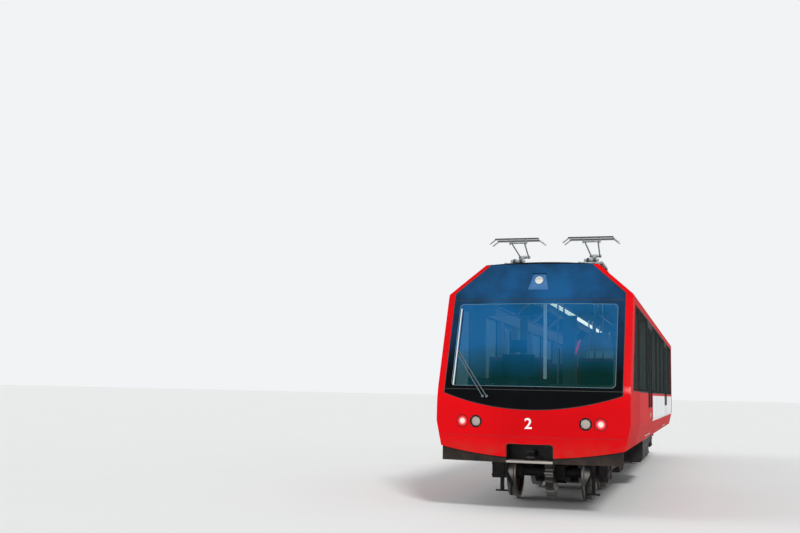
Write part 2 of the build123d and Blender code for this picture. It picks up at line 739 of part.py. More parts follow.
# Coupled end: portal ring and end wall in one shell, with two windows
REAR_WINDOWS = ((-1000, -150), (150, 1000))
with BuildPart() as rear_shell:
    with BuildSketch(section_plane(REAR_SHELL_AFT)):
        add(outline_sketch(SKIRT_Z))
    extrude(amount=-(BODY_LENGTH - REAR_SHELL_AFT))
    with BuildSketch(section_plane(REAR_SHELL_AFT - 1)):
        add(inside_sketch(0))
    extrude(amount=-(BODY_LENGTH - REAR_WALL - REAR_SHELL_AFT + 1), mode=Mode.SUBTRACT)
    for inset, depth in ((0, SIDE_GLASS), (LEDGE, 2 * REAR_WALL)):
        with BuildSketch(section_plane(BODY_LENGTH)):
            for low, high in REAR_WINDOWS:
                with Locations(((low + high) / 2, (GLASS_LOW_Z + GLASS_HIGH_Z) / 2)):
                    Rectangle(high - low - 2 * inset, GLASS_HIGH_Z - GLASS_LOW_Z - 2 * inset)
        extrude(amount=depth, mode=Mode.SUBTRACT)
rear_shell.part.label = "rear_shell"
export_step(rear_shell.part, "parts/rear_shell.step")

with BuildPart() as rear_glass:
    with BuildSketch(section_plane(BODY_LENGTH)):
        for low, high in REAR_WINDOWS:
            with Locations(((low + high) / 2, (GLASS_LOW_Z + GLASS_HIGH_Z) / 2)):
                Rectangle(high - low, GLASS_HIGH_Z - GLASS_LOW_Z)
    extrude(amount=SIDE_GLASS)
rear_glass.part.label = "rear_glass"
export_step(rear_glass.part, "parts/rear_glass.step")

# Underframe: side sills, end beams, bolsters with their pivot pins, and cross-bearers
FRAME_START = 250
FRAME_FINISH = BODY_LENGTH - REAR_WALL - CONTACT
NOSE_BEAM = 200
END_BEAM = 300
CAB_BEARERS = (1000, 1700)
REAR_BEARER = BODY_LENGTH - 1800
BOLSTER_HALF = 250
BEAM_Z = OPENING_Z + POCKET_WALL
BEARER_COUNT = 7
BEARER_HALF = 40
MIDDLE_START = BOGIE_AFT[0] + 1700
MIDDLE_END = BOGIE_AFT[1] - 1900
MIDDLE_BEARERS = [
    MIDDLE_START + i * (MIDDLE_END - MIDDLE_START) / (BEARER_COUNT - 1) for i in range(BEARER_COUNT)
]
with BuildPart() as underframe:
    for side in SIDES.values():
        low, high = sorted((side * SILL_INNER, side * INNER_HALF))
        block((low, FRAME_START, SKIRT_Z), (high, FRAME_FINISH, UNDERFRAME_Z))
    block((-SILL_INNER, FRAME_START, BEAM_Z), (SILL_INNER, FRAME_START + NOSE_BEAM, UNDERFRAME_Z))
    block((-SILL_INNER, FRAME_FINISH - END_BEAM, SKIRT_Z), (SILL_INNER, FRAME_FINISH, UNDERFRAME_Z))
    for place in (*CAB_BEARERS, *MIDDLE_BEARERS, REAR_BEARER):
        block((-SILL_INNER, place - BEARER_HALF, BEAM_Z), (SILL_INNER, place + BEARER_HALF, UNDERFRAME_Z))
    for centre in BOGIE_AFT:
        block(
            (-SILL_INNER, centre - BOLSTER_HALF, SKIRT_Z), (SILL_INNER, centre + BOLSTER_HALF, UNDERFRAME_Z),
        )
        rod((0, centre, SKIRT_Z + 1), (0, centre, PIN_LOW_Z), PIN_RADIUS)
underframe.part.label = "underframe"
export_step(underframe.part, "parts/underframe.step")

with BuildPart() as floor:
    block((-INNER_HALF, FRAME_START, UNDERFRAME_Z), (INNER_HALF, FRAME_FINISH, FLOOR_Z))
floor.part.label = "floor"
export_step(floor.part, "parts/floor.step")

BAR_HALF = 45
EYE_RADIUS = 60
EYE_HALF = 30
EYE_BORE = 25
EYE_AFT = BODY_LENGTH + DRAWBAR_REACH - EYE_RADIUS
NECK = 100
SADDLE_HALF = 110
SADDLE = (FRAME_FINISH - END_BEAM + 20, FRAME_FINISH - 80)
with BuildPart() as drawbar:
    block(
        (-BAR_HALF, FRAME_FINISH - END_BEAM, DRAWBAR_Z - BAR_HALF),
        (BAR_HALF, EYE_AFT - NECK, DRAWBAR_Z + BAR_HALF),
    )
    block((-SADDLE_HALF, SADDLE[0], DRAWBAR_Z), (SADDLE_HALF, SADDLE[1], SKIRT_Z))
    block(
        (-EYE_RADIUS, EYE_AFT - NECK - 10, DRAWBAR_Z - EYE_HALF), (EYE_RADIUS, EYE_AFT, DRAWBAR_Z + EYE_HALF),
    )
    with Locations((0, aft(EYE_AFT), DRAWBAR_Z)):
        Cylinder(EYE_RADIUS, 2 * EYE_HALF)
        Cylinder(EYE_BORE, 4 * EYE_HALF, mode=Mode.SUBTRACT)
drawbar.part.label = "drawbar"
export_step(drawbar.part, "parts/drawbar.step")

# Cab fittings
DESK_HALF = 1000
# (aft, above the floor)
DESK_PROFILE = ((270, 0), (270, 480), (430, 535), (900, 440), (900, 400), (700, 330), (620, 0))
with BuildPart() as driver_desk:
    with BuildSketch(Plane.YZ.offset(-DESK_HALF)):
        with BuildLine():
            Polyline(*[(aft(along), FLOOR_Z + up) for along, up in DESK_PROFILE], close=True)
        make_face()
    extrude(amount=2 * DESK_HALF)
driver_desk.part.label = "driver_desk"
export_step(driver_desk.part, "parts/driver_desk.step")


# Seat outline as (along, above the floor): underside, back of the rest, its top and front, and the pan's edge
PAN_Z = 400
SEAT_UNDER = ((0, PAN_Z), (440, PAN_Z - 15))
SEAT_BACK = ((500, 700), (SEAT_DEPTH, 1060))
SEAT_FRONT = ((SEAT_DEPTH - 30, 1070), (465, 700), (400, PAN_Z + 25))
SEAT_EDGE = (0, PAN_Z + 40)
POST_START = 120


def seat_profile(start):
    """Side view of a moulded seat: a thin pan that turns up into a curved back."""
    def at(point):
        return aft(start + point[0]), FLOOR_Z + point[1]

    with BuildSketch() as profile:
        with BuildLine():
            under = Polyline(at(SEAT_UNDER[0]), at(SEAT_UNDER[1]))
            back = ThreePointArc(under @ 1, at(SEAT_BACK[0]), at(SEAT_BACK[1]))
            top = Line(back @ 1, at(SEAT_FRONT[0]))
            front = ThreePointArc(top @ 1, at(SEAT_FRONT[1]), at(SEAT_FRONT[2]))
            Polyline(front @ 1, at(SEAT_EDGE), under @ 0)
        make_face()
    return profile.sketch


DRIVER_X = -450
DRIVER_AFT = 1150
DRIVER_HALF = 240
DRIVER_POST = (60, 160)
with BuildPart() as driver_seat:
    with BuildSketch(Plane.YZ.offset(DRIVER_X - DRIVER_HALF)):
        add(seat_profile(DRIVER_AFT))
    extrude(amount=2 * DRIVER_HALF)
    post = DRIVER_AFT + POST_START
    block(
        (DRIVER_X - DRIVER_POST[0], post, FLOOR_Z),
        (DRIVER_X + DRIVER_POST[0], post + DRIVER_POST[1], FLOOR_Z + PAN_Z),
    )
driver_seat.part.label = "driver_seat"
export_step(driver_seat.part, "parts/driver_seat.step")

PARTITION_AFT = CAB_LENGTH - 60
PARTITION_WALL = 40
PARTITION_WINDOWS = (-730, -100, 620)
PARTITION_WINDOW_Z = 2150
PARTITION_WINDOW = (520, 1000)
with BuildPart() as partition:
    with BuildSketch(section_plane(PARTITION_AFT)):
        add(inside_sketch(FLOOR_Z, CONTACT))
        with Locations(*[(x, PARTITION_WINDOW_Z) for x in PARTITION_WINDOWS]):
            RectangleRounded(*PARTITION_WINDOW, 40, mode=Mode.SUBTRACT)
    extrude(amount=-PARTITION_WALL)
partition.part.label = "partition"
export_step(partition.part, "parts/partition.step")


def seat_rows():
    """Distance aft of every row of seats, between the partition, the doorways and the end wall."""
    zones = (
        (CAB_LENGTH + CAB_MARGIN, DOORS[0][0]), (DOORS[0][1] + SEAT_MARGIN, DOORS[1][0]),
        (DOORS[1][1] + SEAT_MARGIN, REAR_SHELL_AFT),
    )
    for start, end in zones:
        for i in range(int((end - start - SEAT_DEPTH) // SEAT_PITCH) + 1):
            yield start + i * SEAT_PITCH


with BuildPart() as seats:
    for start in seat_rows():
        for side in SIDES.values():
            low, high = sorted((side * SEAT_INNER, side * SEAT_OUTER))
            with BuildSketch(Plane.YZ.offset(low)):
                add(seat_profile(start))
            extrude(amount=high - low)
            middle, post = (low + high) / 2, start + POST_START
            block(
                (middle - SEAT_POST[0], post, FLOOR_Z),
                (middle + SEAT_POST[0], post + SEAT_POST[1], FLOOR_Z + PAN_Z),
            )
seats.part.label = "seats"
export_step(seats.part, "parts/seats.step")

with BuildPart() as grab_poles:
    for place in [edge for start, end in DOORS for edge in (start - POLE_MARGIN, end + POLE_MARGIN)]:
        for side in SIDES.values():
            rod((side * POLE_X, place, FLOOR_Z), (side * POLE_X, place, CEILING_Z), POLE_RADIUS)
grab_poles.part.label = "grab_poles"
export_step(grab_poles.part, "parts/grab_poles.step")

LIGHT_X = 570
LIGHT_HALF = 45
LIGHT_DROP = 30
LIGHT_MARGIN = 100
with BuildPart() as ceiling_lights:
    for side in SIDES.values():
        block(
            (side * LIGHT_X - LIGHT_HALF, CAB_LENGTH + LIGHT_MARGIN, CEILING_Z - LIGHT_DROP),
            (side * LIGHT_X + LIGHT_HALF, REAR_SHELL_AFT - LIGHT_MARGIN, CEILING_Z),
        )
ceiling_lights.part.label = "ceiling_lights"
export_step(ceiling_lights.part, "parts/ceiling_lights.step")

# Equipment hung under the sills: cases with doors or louvres on their outer side, and air tanks
BOX_GAP = 300
TANK_GAP = 450
TANK_OVERHANG = 250
TANK_BEARERS = (MIDDLE_BEARERS[3], MIDDLE_BEARERS[5])
TANK_ENDS = (TANK_BEARERS[0] - TANK_OVERHANG, TANK_BEARERS[1] + TANK_OVERHANG)
CASE_WALL = 14
CASE_ROUND = 50
LID_GAP = 12
LID_LOW = 60
LID_HIGH = 45
LOUVRE_PITCH = 42
LOUVRE_DEPTH = 40
LOUVRE_TURN = 35
LOUVRE_BLADE = (46, 6)
CONVERTER = (MIDDLE_START + 200, MIDDLE_START + 2700)
RESISTOR = (CONVERTER[1] + BOX_GAP, MIDDLE_END - 100)
BATTERY = (MIDDLE_START + 200, TANK_ENDS[0] - TANK_GAP)
CASE_OUTER = 1090
# name: inner x, side, start and end aft, lower z, doors, louvred
CASES = {
    "converter_box": (120, -1, *CONVERTER, 380, 3, False),
    "resistor_box": (300, -1, *RESISTOR, 420, 2, True),
    "battery_box": (250, 1, *BATTERY, 400, 2, False),
}
for name, (inner, side, start, end, low_z, doors_count, louvred) in CASES.items():
    with BuildPart() as case:
        near, far = sorted((side * inner, side * CASE_OUTER))
        block((near, start, low_z), (far, end, SKIRT_Z))
        fillet(case.edges().filter_by(Axis.Y).group_by(Axis.Z)[0], radius=CASE_ROUND)
        width = (end - start - LID_GAP) / doors_count - LID_GAP
        for i in range(doors_count):
            door = start + LID_GAP + i * (width + LID_GAP)
            low, high = low_z + LID_LOW, SKIRT_Z - LID_HIGH
            near, far = sorted((side * (CASE_OUTER - 1), side * (CASE_OUTER + CASE_WALL)))
            if not louvred:
                block((near, door, low), (far, door + width, high))
                continue
            near, far = sorted((side * (CASE_OUTER - LOUVRE_DEPTH), side * (CASE_OUTER + 1)))
            block((near, door + LID_GAP, low), (far, door + width - LID_GAP, high), mode=Mode.SUBTRACT)
            with BuildSketch(section_plane(door + LID_GAP - 1)) as blades:
                for k in range(int((high - low) // LOUVRE_PITCH)):
                    with Locations((side * (CASE_OUTER - 22), low + LOUVRE_PITCH * (k + 0.6))):
                        Rectangle(*LOUVRE_BLADE, rotation=-side * LOUVRE_TURN)
            extrude(blades.sketch, amount=-(width - 2 * LID_GAP + 2))
    case.part.label = name
    export_step(case.part, f"parts/{name}.step")

TANK_X = (480, 860)
TANK_Z = 640
TANK_RADIUS = 150
TANK_DOME = 60
HANGER_HALF = 30
DOME_RADIUS = (TANK_RADIUS**2 + TANK_DOME**2) / (2 * TANK_DOME)
DOME_TURN = asin(TANK_RADIUS / DOME_RADIUS) / 2
DOME_MIDDLE = (DOME_RADIUS * (1 - cos(DOME_TURN)), DOME_RADIUS * sin(DOME_TURN))
with BuildPart() as air_tanks:
    for x in TANK_X:
        with BuildSketch(Plane.YZ.offset(x)):
            with BuildLine():
                near = ThreePointArc(
                    (aft(TANK_ENDS[0]), TANK_Z),
                    (aft(TANK_ENDS[0] + DOME_MIDDLE[0]), TANK_Z + DOME_MIDDLE[1]),
                    (aft(TANK_ENDS[0] + TANK_DOME), TANK_Z + TANK_RADIUS),
                )
                far = ThreePointArc(
                    (aft(TANK_ENDS[1] - TANK_DOME), TANK_Z + TANK_RADIUS),
                    (aft(TANK_ENDS[1] - DOME_MIDDLE[0]), TANK_Z + DOME_MIDDLE[1]),
                    (aft(TANK_ENDS[1]), TANK_Z),
                )
                Line(near @ 1, far @ 0)
                Line(far @ 1, near @ 0)
            make_face()
        revolve(axis=Axis((x, 0, TANK_Z), (0, 1, 0)))
        for place in TANK_BEARERS:
            block(
                (x - TANK_RADIUS / 2, place - HANGER_HALF, TANK_Z + TANK_RADIUS / 2),
                (x + TANK_RADIUS / 2, place + HANGER_HALF, BEAM_Z),
            )
air_tanks.part.label = "air_tanks"
export_step(air_tanks.part, "parts/air_tanks.step")


def turned(points):
    """Solid of revolution about the X axis, from (x, radius) points, mirrored to both sides."""
    with BuildPart() as half:
        with BuildSketch(Plane.XY):
            with BuildLine():
                Polyline(*points, close=True)
            make_face()
        revolve(axis=Axis.X)
        mirror(about=Plane.YZ)
    return half.part


HUB_START = 425
HUB_FACE = 600
WEB_INNER = (520, 510)
WEB_OUTER = (550, 540)
WEB_RADIUS = 115
RIM_RADIUS = 300
RIM_OUTER = GAUGE_BACK + 130
FLANGE_TIP = (GAUGE_BACK + 8, GAUGE_BACK + 22)
FLANGE_ROUND = 6
FLANGE_ROOT = GAUGE_BACK + 40
WHEELSET = turned(
    (
        (0, 0), (0, AXLE_RADIUS), (HUB_START, AXLE_RADIUS), (HUB_START, WEB_RADIUS),
        (WEB_INNER[0], WEB_RADIUS), (WEB_INNER[1], RIM_RADIUS), (GAUGE_BACK, RIM_RADIUS),
        (GAUGE_BACK, AXLE_Z - FLANGE_ROUND), (FLANGE_TIP[0], AXLE_Z), (FLANGE_TIP[1], AXLE_Z),
        (FLANGE_ROOT, TREAD_RADIUS + 1), (RIM_OUTER, TREAD_RADIUS - 3), (RIM_OUTER, RIM_RADIUS),
        (WEB_OUTER[1], RIM_RADIUS), (WEB_OUTER[0], WEB_RADIUS), (HUB_FACE, WEB_RADIUS),
        (HUB_FACE, JOURNAL_RADIUS), (JOURNAL_END, JOURNAL_RADIUS), (JOURNAL_END, 0),
    )
)

# Pinion for a ladder rack: flat-flanked teeth on the pitch circle of the rack's pitch
PITCH_RADIUS = PINION_TEETH * RACK_PITCH / (2 * pi)
ROOT_RADIUS = PITCH_RADIUS - 34
TIP_RADIUS = PITCH_RADIUS + 28
# half widths of a tooth
TOOTH_ROOT = 34
TOOTH_PITCH = 24
TOOTH_TIP = 11
TOOTH_FOOT = ROOT_RADIUS - 8
LIGHTENING_HOLES = 5
LIGHTENING_CIRCLE = 185
LIGHTENING_RADIUS = 42
with BuildSketch() as tooth:
    with BuildLine():
        Polyline(
            (TOOTH_FOOT, -TOOTH_ROOT), (PITCH_RADIUS, -TOOTH_PITCH), (TIP_RADIUS, -TOOTH_TIP),
            (TIP_RADIUS, TOOTH_TIP), (PITCH_RADIUS, TOOTH_PITCH), (TOOTH_FOOT, TOOTH_ROOT), close=True,
        )
    make_face()
with BuildPart() as pinion_form:
    with BuildSketch(Plane.YZ):
        Circle(ROOT_RADIUS)
        with PolarLocations(0, PINION_TEETH):
            add(tooth.sketch)
        Circle(AXLE_RADIUS + CONTACT, mode=Mode.SUBTRACT)
        with PolarLocations(LIGHTENING_CIRCLE, LIGHTENING_HOLES):
            Circle(LIGHTENING_RADIUS, mode=Mode.SUBTRACT)
    extrude(amount=PINION_WIDTH / 2, both=True)


def bogie_side(centre):
    """Side view of a bogie's side beam: dropped waist, and legs that hold the axle boxes between them."""
    half_base = WHEELBASE / 2
    outer, inner = half_base + LEG_REACH, half_base - LEG_REACH
    half = (
        (WAIST_HALF, FRAME_WAIST_Z), (WAIST_HALF + WAIST_RAMP, FRAME_TOP_Z), (FRAME_END, FRAME_TOP_Z),
        (FRAME_END, FRAME_TOP_Z - FRAME_TIP),
        (outer + LEG_WIDTH, FRAME_LOW_Z), (outer + LEG_WIDTH, LEG_LOW_Z), (outer, LEG_LOW_Z),
        (outer, FRAME_LOW_Z), (inner, FRAME_LOW_Z), (inner, LEG_LOW_Z), (inner - LEG_WIDTH, LEG_LOW_Z),
        (inner - LEG_WIDTH - LEG_GUSSET, FRAME_BELLY_Z),
    )
    with BuildSketch() as beam:
        with BuildLine():
            Polyline(
                *[(aft(centre + y), z) for y, z in half], *[(aft(centre - y), z) for y, z in reversed(half)],
                close=True,
            )
        make_face()
    return beam.sketch


def bellows_profile(low, high):
    """Half section of a two-fold air spring between its end plates, as (radius, z)."""
    fold = (high - low) / 2 - BELLOWS_PLATE
    with BuildSketch(Plane.XZ) as bellows:
        with BuildLine():
            Polyline(
                (0, low), (BELLOWS_RADIUS, low), (BELLOWS_RADIUS, low + BELLOWS_PLATE),
                (BELLOWS_RADIUS + BELLOWS_BULGE, low + BELLOWS_PLATE + fold / 2),
                (BELLOWS_RADIUS, low + BELLOWS_PLATE + fold),
                (BELLOWS_RADIUS + BELLOWS_BULGE, high - BELLOWS_PLATE - fold / 2),
                (BELLOWS_RADIUS, high - BELLOWS_PLATE), (BELLOWS_RADIUS, high), (0, high), close=True,
            )
        make_face()
    return bellows.sketch


# Bogies, with the powered axle at the outer end of each
MOTOR_Z = 430
MOTOR_RADIUS = 230
MOTOR_REACH = 620
MOTOR_HALF = 320
MOTOR_BRACKETS = (-125, 125)
BRACKET_HALF = 30
GEAR_START = PINION_WIDTH / 2 + 8
GEAR_WIDTH = 140
AXLE_GAP = 6
# gear case outline from the powered axle, as (outward, above the axle)
GEAR_NOSE = (130, 100)
GEAR_SHOULDER = (40, 150)
GEAR_TAIL = 200
BEAM_X = (FRAME_INNER + FRAME_OUTER) / 2
SPRING_SEAT_Z = FRAME_WAIST_Z + 30
TRANSOM_Z = (500, 640)
HUB_TOP_GAP = 25
HEADSTOCK = 60
GUARD_X = 640
GUARD_Z = 130
GUARD_HALF = 25
GUARD_FOOT_HALF = 90
GUARD_FOOT = 20
TREAD_X = (GAUGE_BACK + 43, RIM_OUTER - 3)
BOX_INNER = 640
BOX_OUTER = 800
BOX_ROUND = 45
COVER_RADIUS = 78
COVER_X = BOX_OUTER + 15
STOP_RADIUS = 32
STOP_GAP = 25
CHEVRON_LAYERS = 5
CHEVRON_STEP = 14
CHEVRON_HALF = 60
CHEVRON_X = (FRAME_INNER + 5, FRAME_OUTER - 30)
SHOE_BACK = 430
SHOE_HALF = 70
CYLINDER_RADIUS = 68
CYLINDER_END = 540
CARRIER = (510, 570)
with BuildPart() as air_spring:
    add(revolve(bellows_profile(SPRING_SEAT_Z, SKIRT_Z - CONTACT), axis=Axis.Z, mode=Mode.PRIVATE))
for number, (place, centre, outward) in enumerate((("front", BOGIE_AFT[0], -1), ("rear", BOGIE_AFT[1], 1))):
    half_base = WHEELBASE / 2
    powered = centre + outward * half_base

    with BuildPart() as bogie_frame:
        for side in SIDES.values():
            with BuildSketch(Plane.YZ.offset(side * FRAME_INNER)):
                add(bogie_side(centre))
            extrude(amount=side * (FRAME_OUTER - FRAME_INNER))
            rod(
                (side * BEAM_X, centre, FRAME_WAIST_Z - 20), (side * BEAM_X, centre, SPRING_SEAT_Z),
                BELLOWS_RADIUS + 15,
            )
        block(
            (-FRAME_INNER, centre - TRANSOM_HALF, TRANSOM_Z[0]),
            (FRAME_INNER, centre + TRANSOM_HALF, TRANSOM_Z[1]),
        )
        rod((0, centre, TRANSOM_Z[0]), (0, centre, SKIRT_Z - HUB_TOP_GAP), HUB_RADIUS)
        for end in (-1, 1):
            near, far = sorted((centre + end * (FRAME_END - HEADSTOCK), centre + end * FRAME_END))
            block((-FRAME_INNER, near, FRAME_TOP_Z - FRAME_TIP), (FRAME_INNER, far, FRAME_TOP_Z - 10))
        rod((0, centre, PIN_LOW_Z - 100), (0, centre, SKIRT_Z), PIN_RADIUS + RUNNING_GAP, mode=Mode.SUBTRACT)
        guard = sorted((centre + outward * (FRAME_END - HEADSTOCK + 5), centre + outward * (FRAME_END - 5)))
        for side in SIDES.values():
            block(
                (side * GUARD_X - GUARD_HALF, guard[0], GUARD_Z),
                (side * GUARD_X + GUARD_HALF, guard[1], FRAME_TOP_Z - FRAME_TIP + 10),
            )
            block(
                (side * GUARD_X - GUARD_FOOT_HALF, guard[0], GUARD_Z),
                (side * GUARD_X + GUARD_FOOT_HALF, guard[1], GUARD_Z + GUARD_FOOT),
            )
    bogie_frame.part.label = "bogie_frame_" + place
    export_step(bogie_frame.part, f"parts/bogie_frame_{place}.step")

    with BuildPart() as drive_unit:
        motor_aft = powered - outward * MOTOR_REACH
        rod((-MOTOR_HALF, motor_aft, MOTOR_Z), (MOTOR_HALF, motor_aft, MOTOR_Z), MOTOR_RADIUS)
        nose_y, shoulder_y = (aft(powered + outward * reach) for reach, _ in (GEAR_NOSE, GEAR_SHOULDER))
        with BuildSketch(Plane.YZ.offset(GEAR_START)):
            with BuildLine():
                Polyline(
                    (nose_y, AXLE_Z - GEAR_NOSE[1]), (nose_y, AXLE_Z + GEAR_NOSE[1]),
                    (shoulder_y, AXLE_Z + GEAR_SHOULDER[1]), (aft(motor_aft), MOTOR_Z + GEAR_TAIL),
                    (aft(motor_aft), MOTOR_Z - GEAR_TAIL), (shoulder_y, AXLE_Z - GEAR_SHOULDER[1]),
                    close=True,
                )
            make_face()
        extrude(amount=GEAR_WIDTH)
        rod(
            (GEAR_START - 10, powered, AXLE_Z), (GEAR_START + GEAR_WIDTH + 10, powered, AXLE_Z),
            AXLE_RADIUS + AXLE_GAP, mode=Mode.SUBTRACT,
        )
        near, far = sorted((motor_aft - outward * 180, centre + outward * TRANSOM_HALF))
        for x in MOTOR_BRACKETS:
            block((x - BRACKET_HALF, near, TRANSOM_Z[0] + 20), (x + BRACKET_HALF, far, TRANSOM_Z[1]))
    drive_unit.part.label = "drive_unit_" + place
    export_step(drive_unit.part, f"parts/drive_unit_{place}.step")

    with BuildPart() as suspension:
        for side in SIDES.values():
            for end in (-1, 1):
                axle = centre + end * half_base
                with BuildSketch(Plane.YZ.offset(side * BOX_INNER)):
                    with Locations((aft(axle), AXLE_Z)):
                        RectangleRounded(2 * AXLE_BOX_HALF, 2 * AXLE_BOX_HALF, BOX_ROUND)
                extrude(amount=side * (BOX_OUTER - BOX_INNER))
                rod((side * (BOX_OUTER - 1), axle, AXLE_Z), (side * COVER_X, axle, AXLE_Z), COVER_RADIUS)
                rod(
                    (side * BEAM_X, axle, AXLE_Z + AXLE_BOX_HALF - 1),
                    (side * BEAM_X, axle, FRAME_LOW_Z - STOP_GAP), STOP_RADIUS,
                )
                layer = (LEG_REACH - AXLE_BOX_HALF) / CHEVRON_LAYERS
                for i in range(CHEVRON_LAYERS):
                    thin = i % 2 * CHEVRON_STEP
                    reach = (AXLE_BOX_HALF + i * layer, AXLE_BOX_HALF + (i + 1) * layer)
                    for along in (-1, 1):
                        near, far = sorted(axle + along * distance for distance in reach)
                        low, high = sorted((side * (CHEVRON_X[0] + thin), side * (CHEVRON_X[1] - thin)))
                        half = CHEVRON_HALF - thin
                        block((low, near, AXLE_Z - half), (high, far, AXLE_Z + half))
                rod(
                    (side * (BOX_INNER - 10), axle, AXLE_Z), (side * (JOURNAL_END + 5), axle, AXLE_Z),
                    JOURNAL_RADIUS + RUNNING_GAP, mode=Mode.SUBTRACT,
                )
            add(air_spring.part.moved(Location((side * BEAM_X, aft(centre), 0))))
    suspension.part.label = "suspension_" + place
    export_step(suspension.part, f"parts/suspension_{place}.step")

    with BuildPart() as brake_units:
        for end in (-1, 1):
            axle = centre + end * half_base
            for side in SIDES.values():
                low, high = sorted((side * TREAD_X[0], side * TREAD_X[1]))
                near, far = sorted((axle - end * SHOE_BACK, axle - end * (TREAD_RADIUS - 5)))
                block((low, near, AXLE_Z - SHOE_HALF), (high, far, AXLE_Z + SHOE_HALF))
                rod(
                    (side * (TREAD_X[0] - 100), axle, AXLE_Z), (side * (TREAD_X[1] + 50), axle, AXLE_Z),
                    TREAD_RADIUS + SHOE_GAP, mode=Mode.SUBTRACT,
                )
                middle = side * sum(TREAD_X) / 2
                rod(
                    (middle, axle - end * (SHOE_BACK - 1), AXLE_Z),
                    (middle, axle - end * CYLINDER_END, AXLE_Z), CYLINDER_RADIUS,
                )
                low, high = sorted((side * (GAUGE_BACK + 15), side * FRAME_INNER))
                near, far = sorted(axle - end * reach for reach in CARRIER)
                block((low, near, AXLE_Z - SHOE_HALF + 10), (high, far, FRAME_LOW_Z))
    brake_units.part.label = "brake_units_" + place
    export_step(brake_units.part, f"parts/brake_units_{place}.step")

    for offset_sign in (-1, 1):
        axle = centre + offset_sign * half_base
        index = 2 * number + (1 if offset_sign < 0 else 2)
        with BuildPart() as wheelset:
            add(WHEELSET.moved(Location((0, aft(axle), AXLE_Z))))
        wheelset.part.label = f"wheelset_{index}"
        export_step(wheelset.part, f"parts/wheelset_{index}.step")

    with BuildPart() as rack_pinion:
        add(pinion_form.part.moved(Location((0, aft(powered), AXLE_Z))))
    rack_pinion.part.label = "rack_pinion_" + place
    export_step(rack_pinion.part, f"parts/rack_pinion_{place}.step")

# Current collectors
KNEE_AFT = COLLECTOR_AFT + ARM_LENGTH * cos(radians(ARM_RISE))
KNEE_Z = PIVOT_Z + ARM_LENGTH * sin(radians(ARM_RISE))
HEAD_Z = PIVOT_Z + 2 * ARM_LENGTH * sin(radians(ARM_RISE))
INSULATOR_HEIGHT = 100
BASE_Z = PAD_Z + INSULATOR_HEIGHT
RAIL_HALF = 20
RAIL_HEIGHT = 30
RAIL_OVERHANG = 60
EAR_X = 100
EAR_HALF = 10
SHAFT_RADIUS = 14
BOSS_RADIUS = 26
BOSS_HALF = 80
KNEE_BOSS_HALF = 30
KNEE_SHAFT_HALF = 90
UPPER_X = 65
UPPER_SPREAD = 1.5
UPPER_RADIUS = 11
UPPER_BOSS = (22, 24)
HEAD_SHAFT_RADIUS = 12
HEAD_SHAFT_HALF = 135
STRIP_RISE = 45
STRIP_AFT = 110
STRIP_HALF = (18, 12)
HORN_REACH = 80
HORN_DROP = 70
HORN_RADIUS = 11
YOKE_X = 122
YOKE_HALF = 8
YOKE_DEPTH = 16
LUG_HALF = 22
INSULATOR = (
    (0, 0), (30, 0), (46, 20), (30, 34), (46, 54), (26, 70), (26, INSULATOR_HEIGHT + 1),
    (0, INSULATOR_HEIGHT + 1),
)
with BuildPart() as insulator:
    with BuildSketch(Plane.XZ):
        with BuildLine():
            Polyline(*INSULATOR, close=True)
        make_face()
    revolve(axis=Axis.Z)
with BuildPart() as collector_base:
    for side in SIDES.values():
        middle = side * COLLECTOR_X
        for x in (middle - BASE_HALF, middle + BASE_HALF):
            block(
                (x - RAIL_HALF, INSULATOR_AFT[0] - RAIL_OVERHANG, BASE_Z),
                (x + RAIL_HALF, INSULATOR_AFT[1] + RAIL_OVERHANG, BASE_Z + RAIL_HEIGHT),
            )
            for y in INSULATOR_AFT:
                add(insulator.part.moved(Location((x, aft(y), PAD_Z))))
        for y in (*INSULATOR_AFT, COLLECTOR_AFT):
            block(
                (middle - BASE_HALF, y - RAIL_HALF, BASE_Z),
                (middle + BASE_HALF, y + RAIL_HALF, BASE_Z + RAIL_HEIGHT),
            )
        for ear in (-EAR_X, EAR_X):
            block(
                (middle + ear - EAR_HALF, COLLECTOR_AFT - RAIL_HALF, BASE_Z + RAIL_HEIGHT - 1),
                (middle + ear + EAR_HALF, COLLECTOR_AFT + RAIL_HALF, PIVOT_Z + RAIL_HALF),
            )
        rod(
            (middle - EAR_X - 20, COLLECTOR_AFT, PIVOT_Z), (middle + EAR_X + 20, COLLECTOR_AFT, PIVOT_Z),
            SHAFT_RADIUS + RUNNING_GAP, mode=Mode.SUBTRACT,
        )
collector_base.part.label = "collector_base"
export_step(collector_base.part, "parts/collector_base.step")

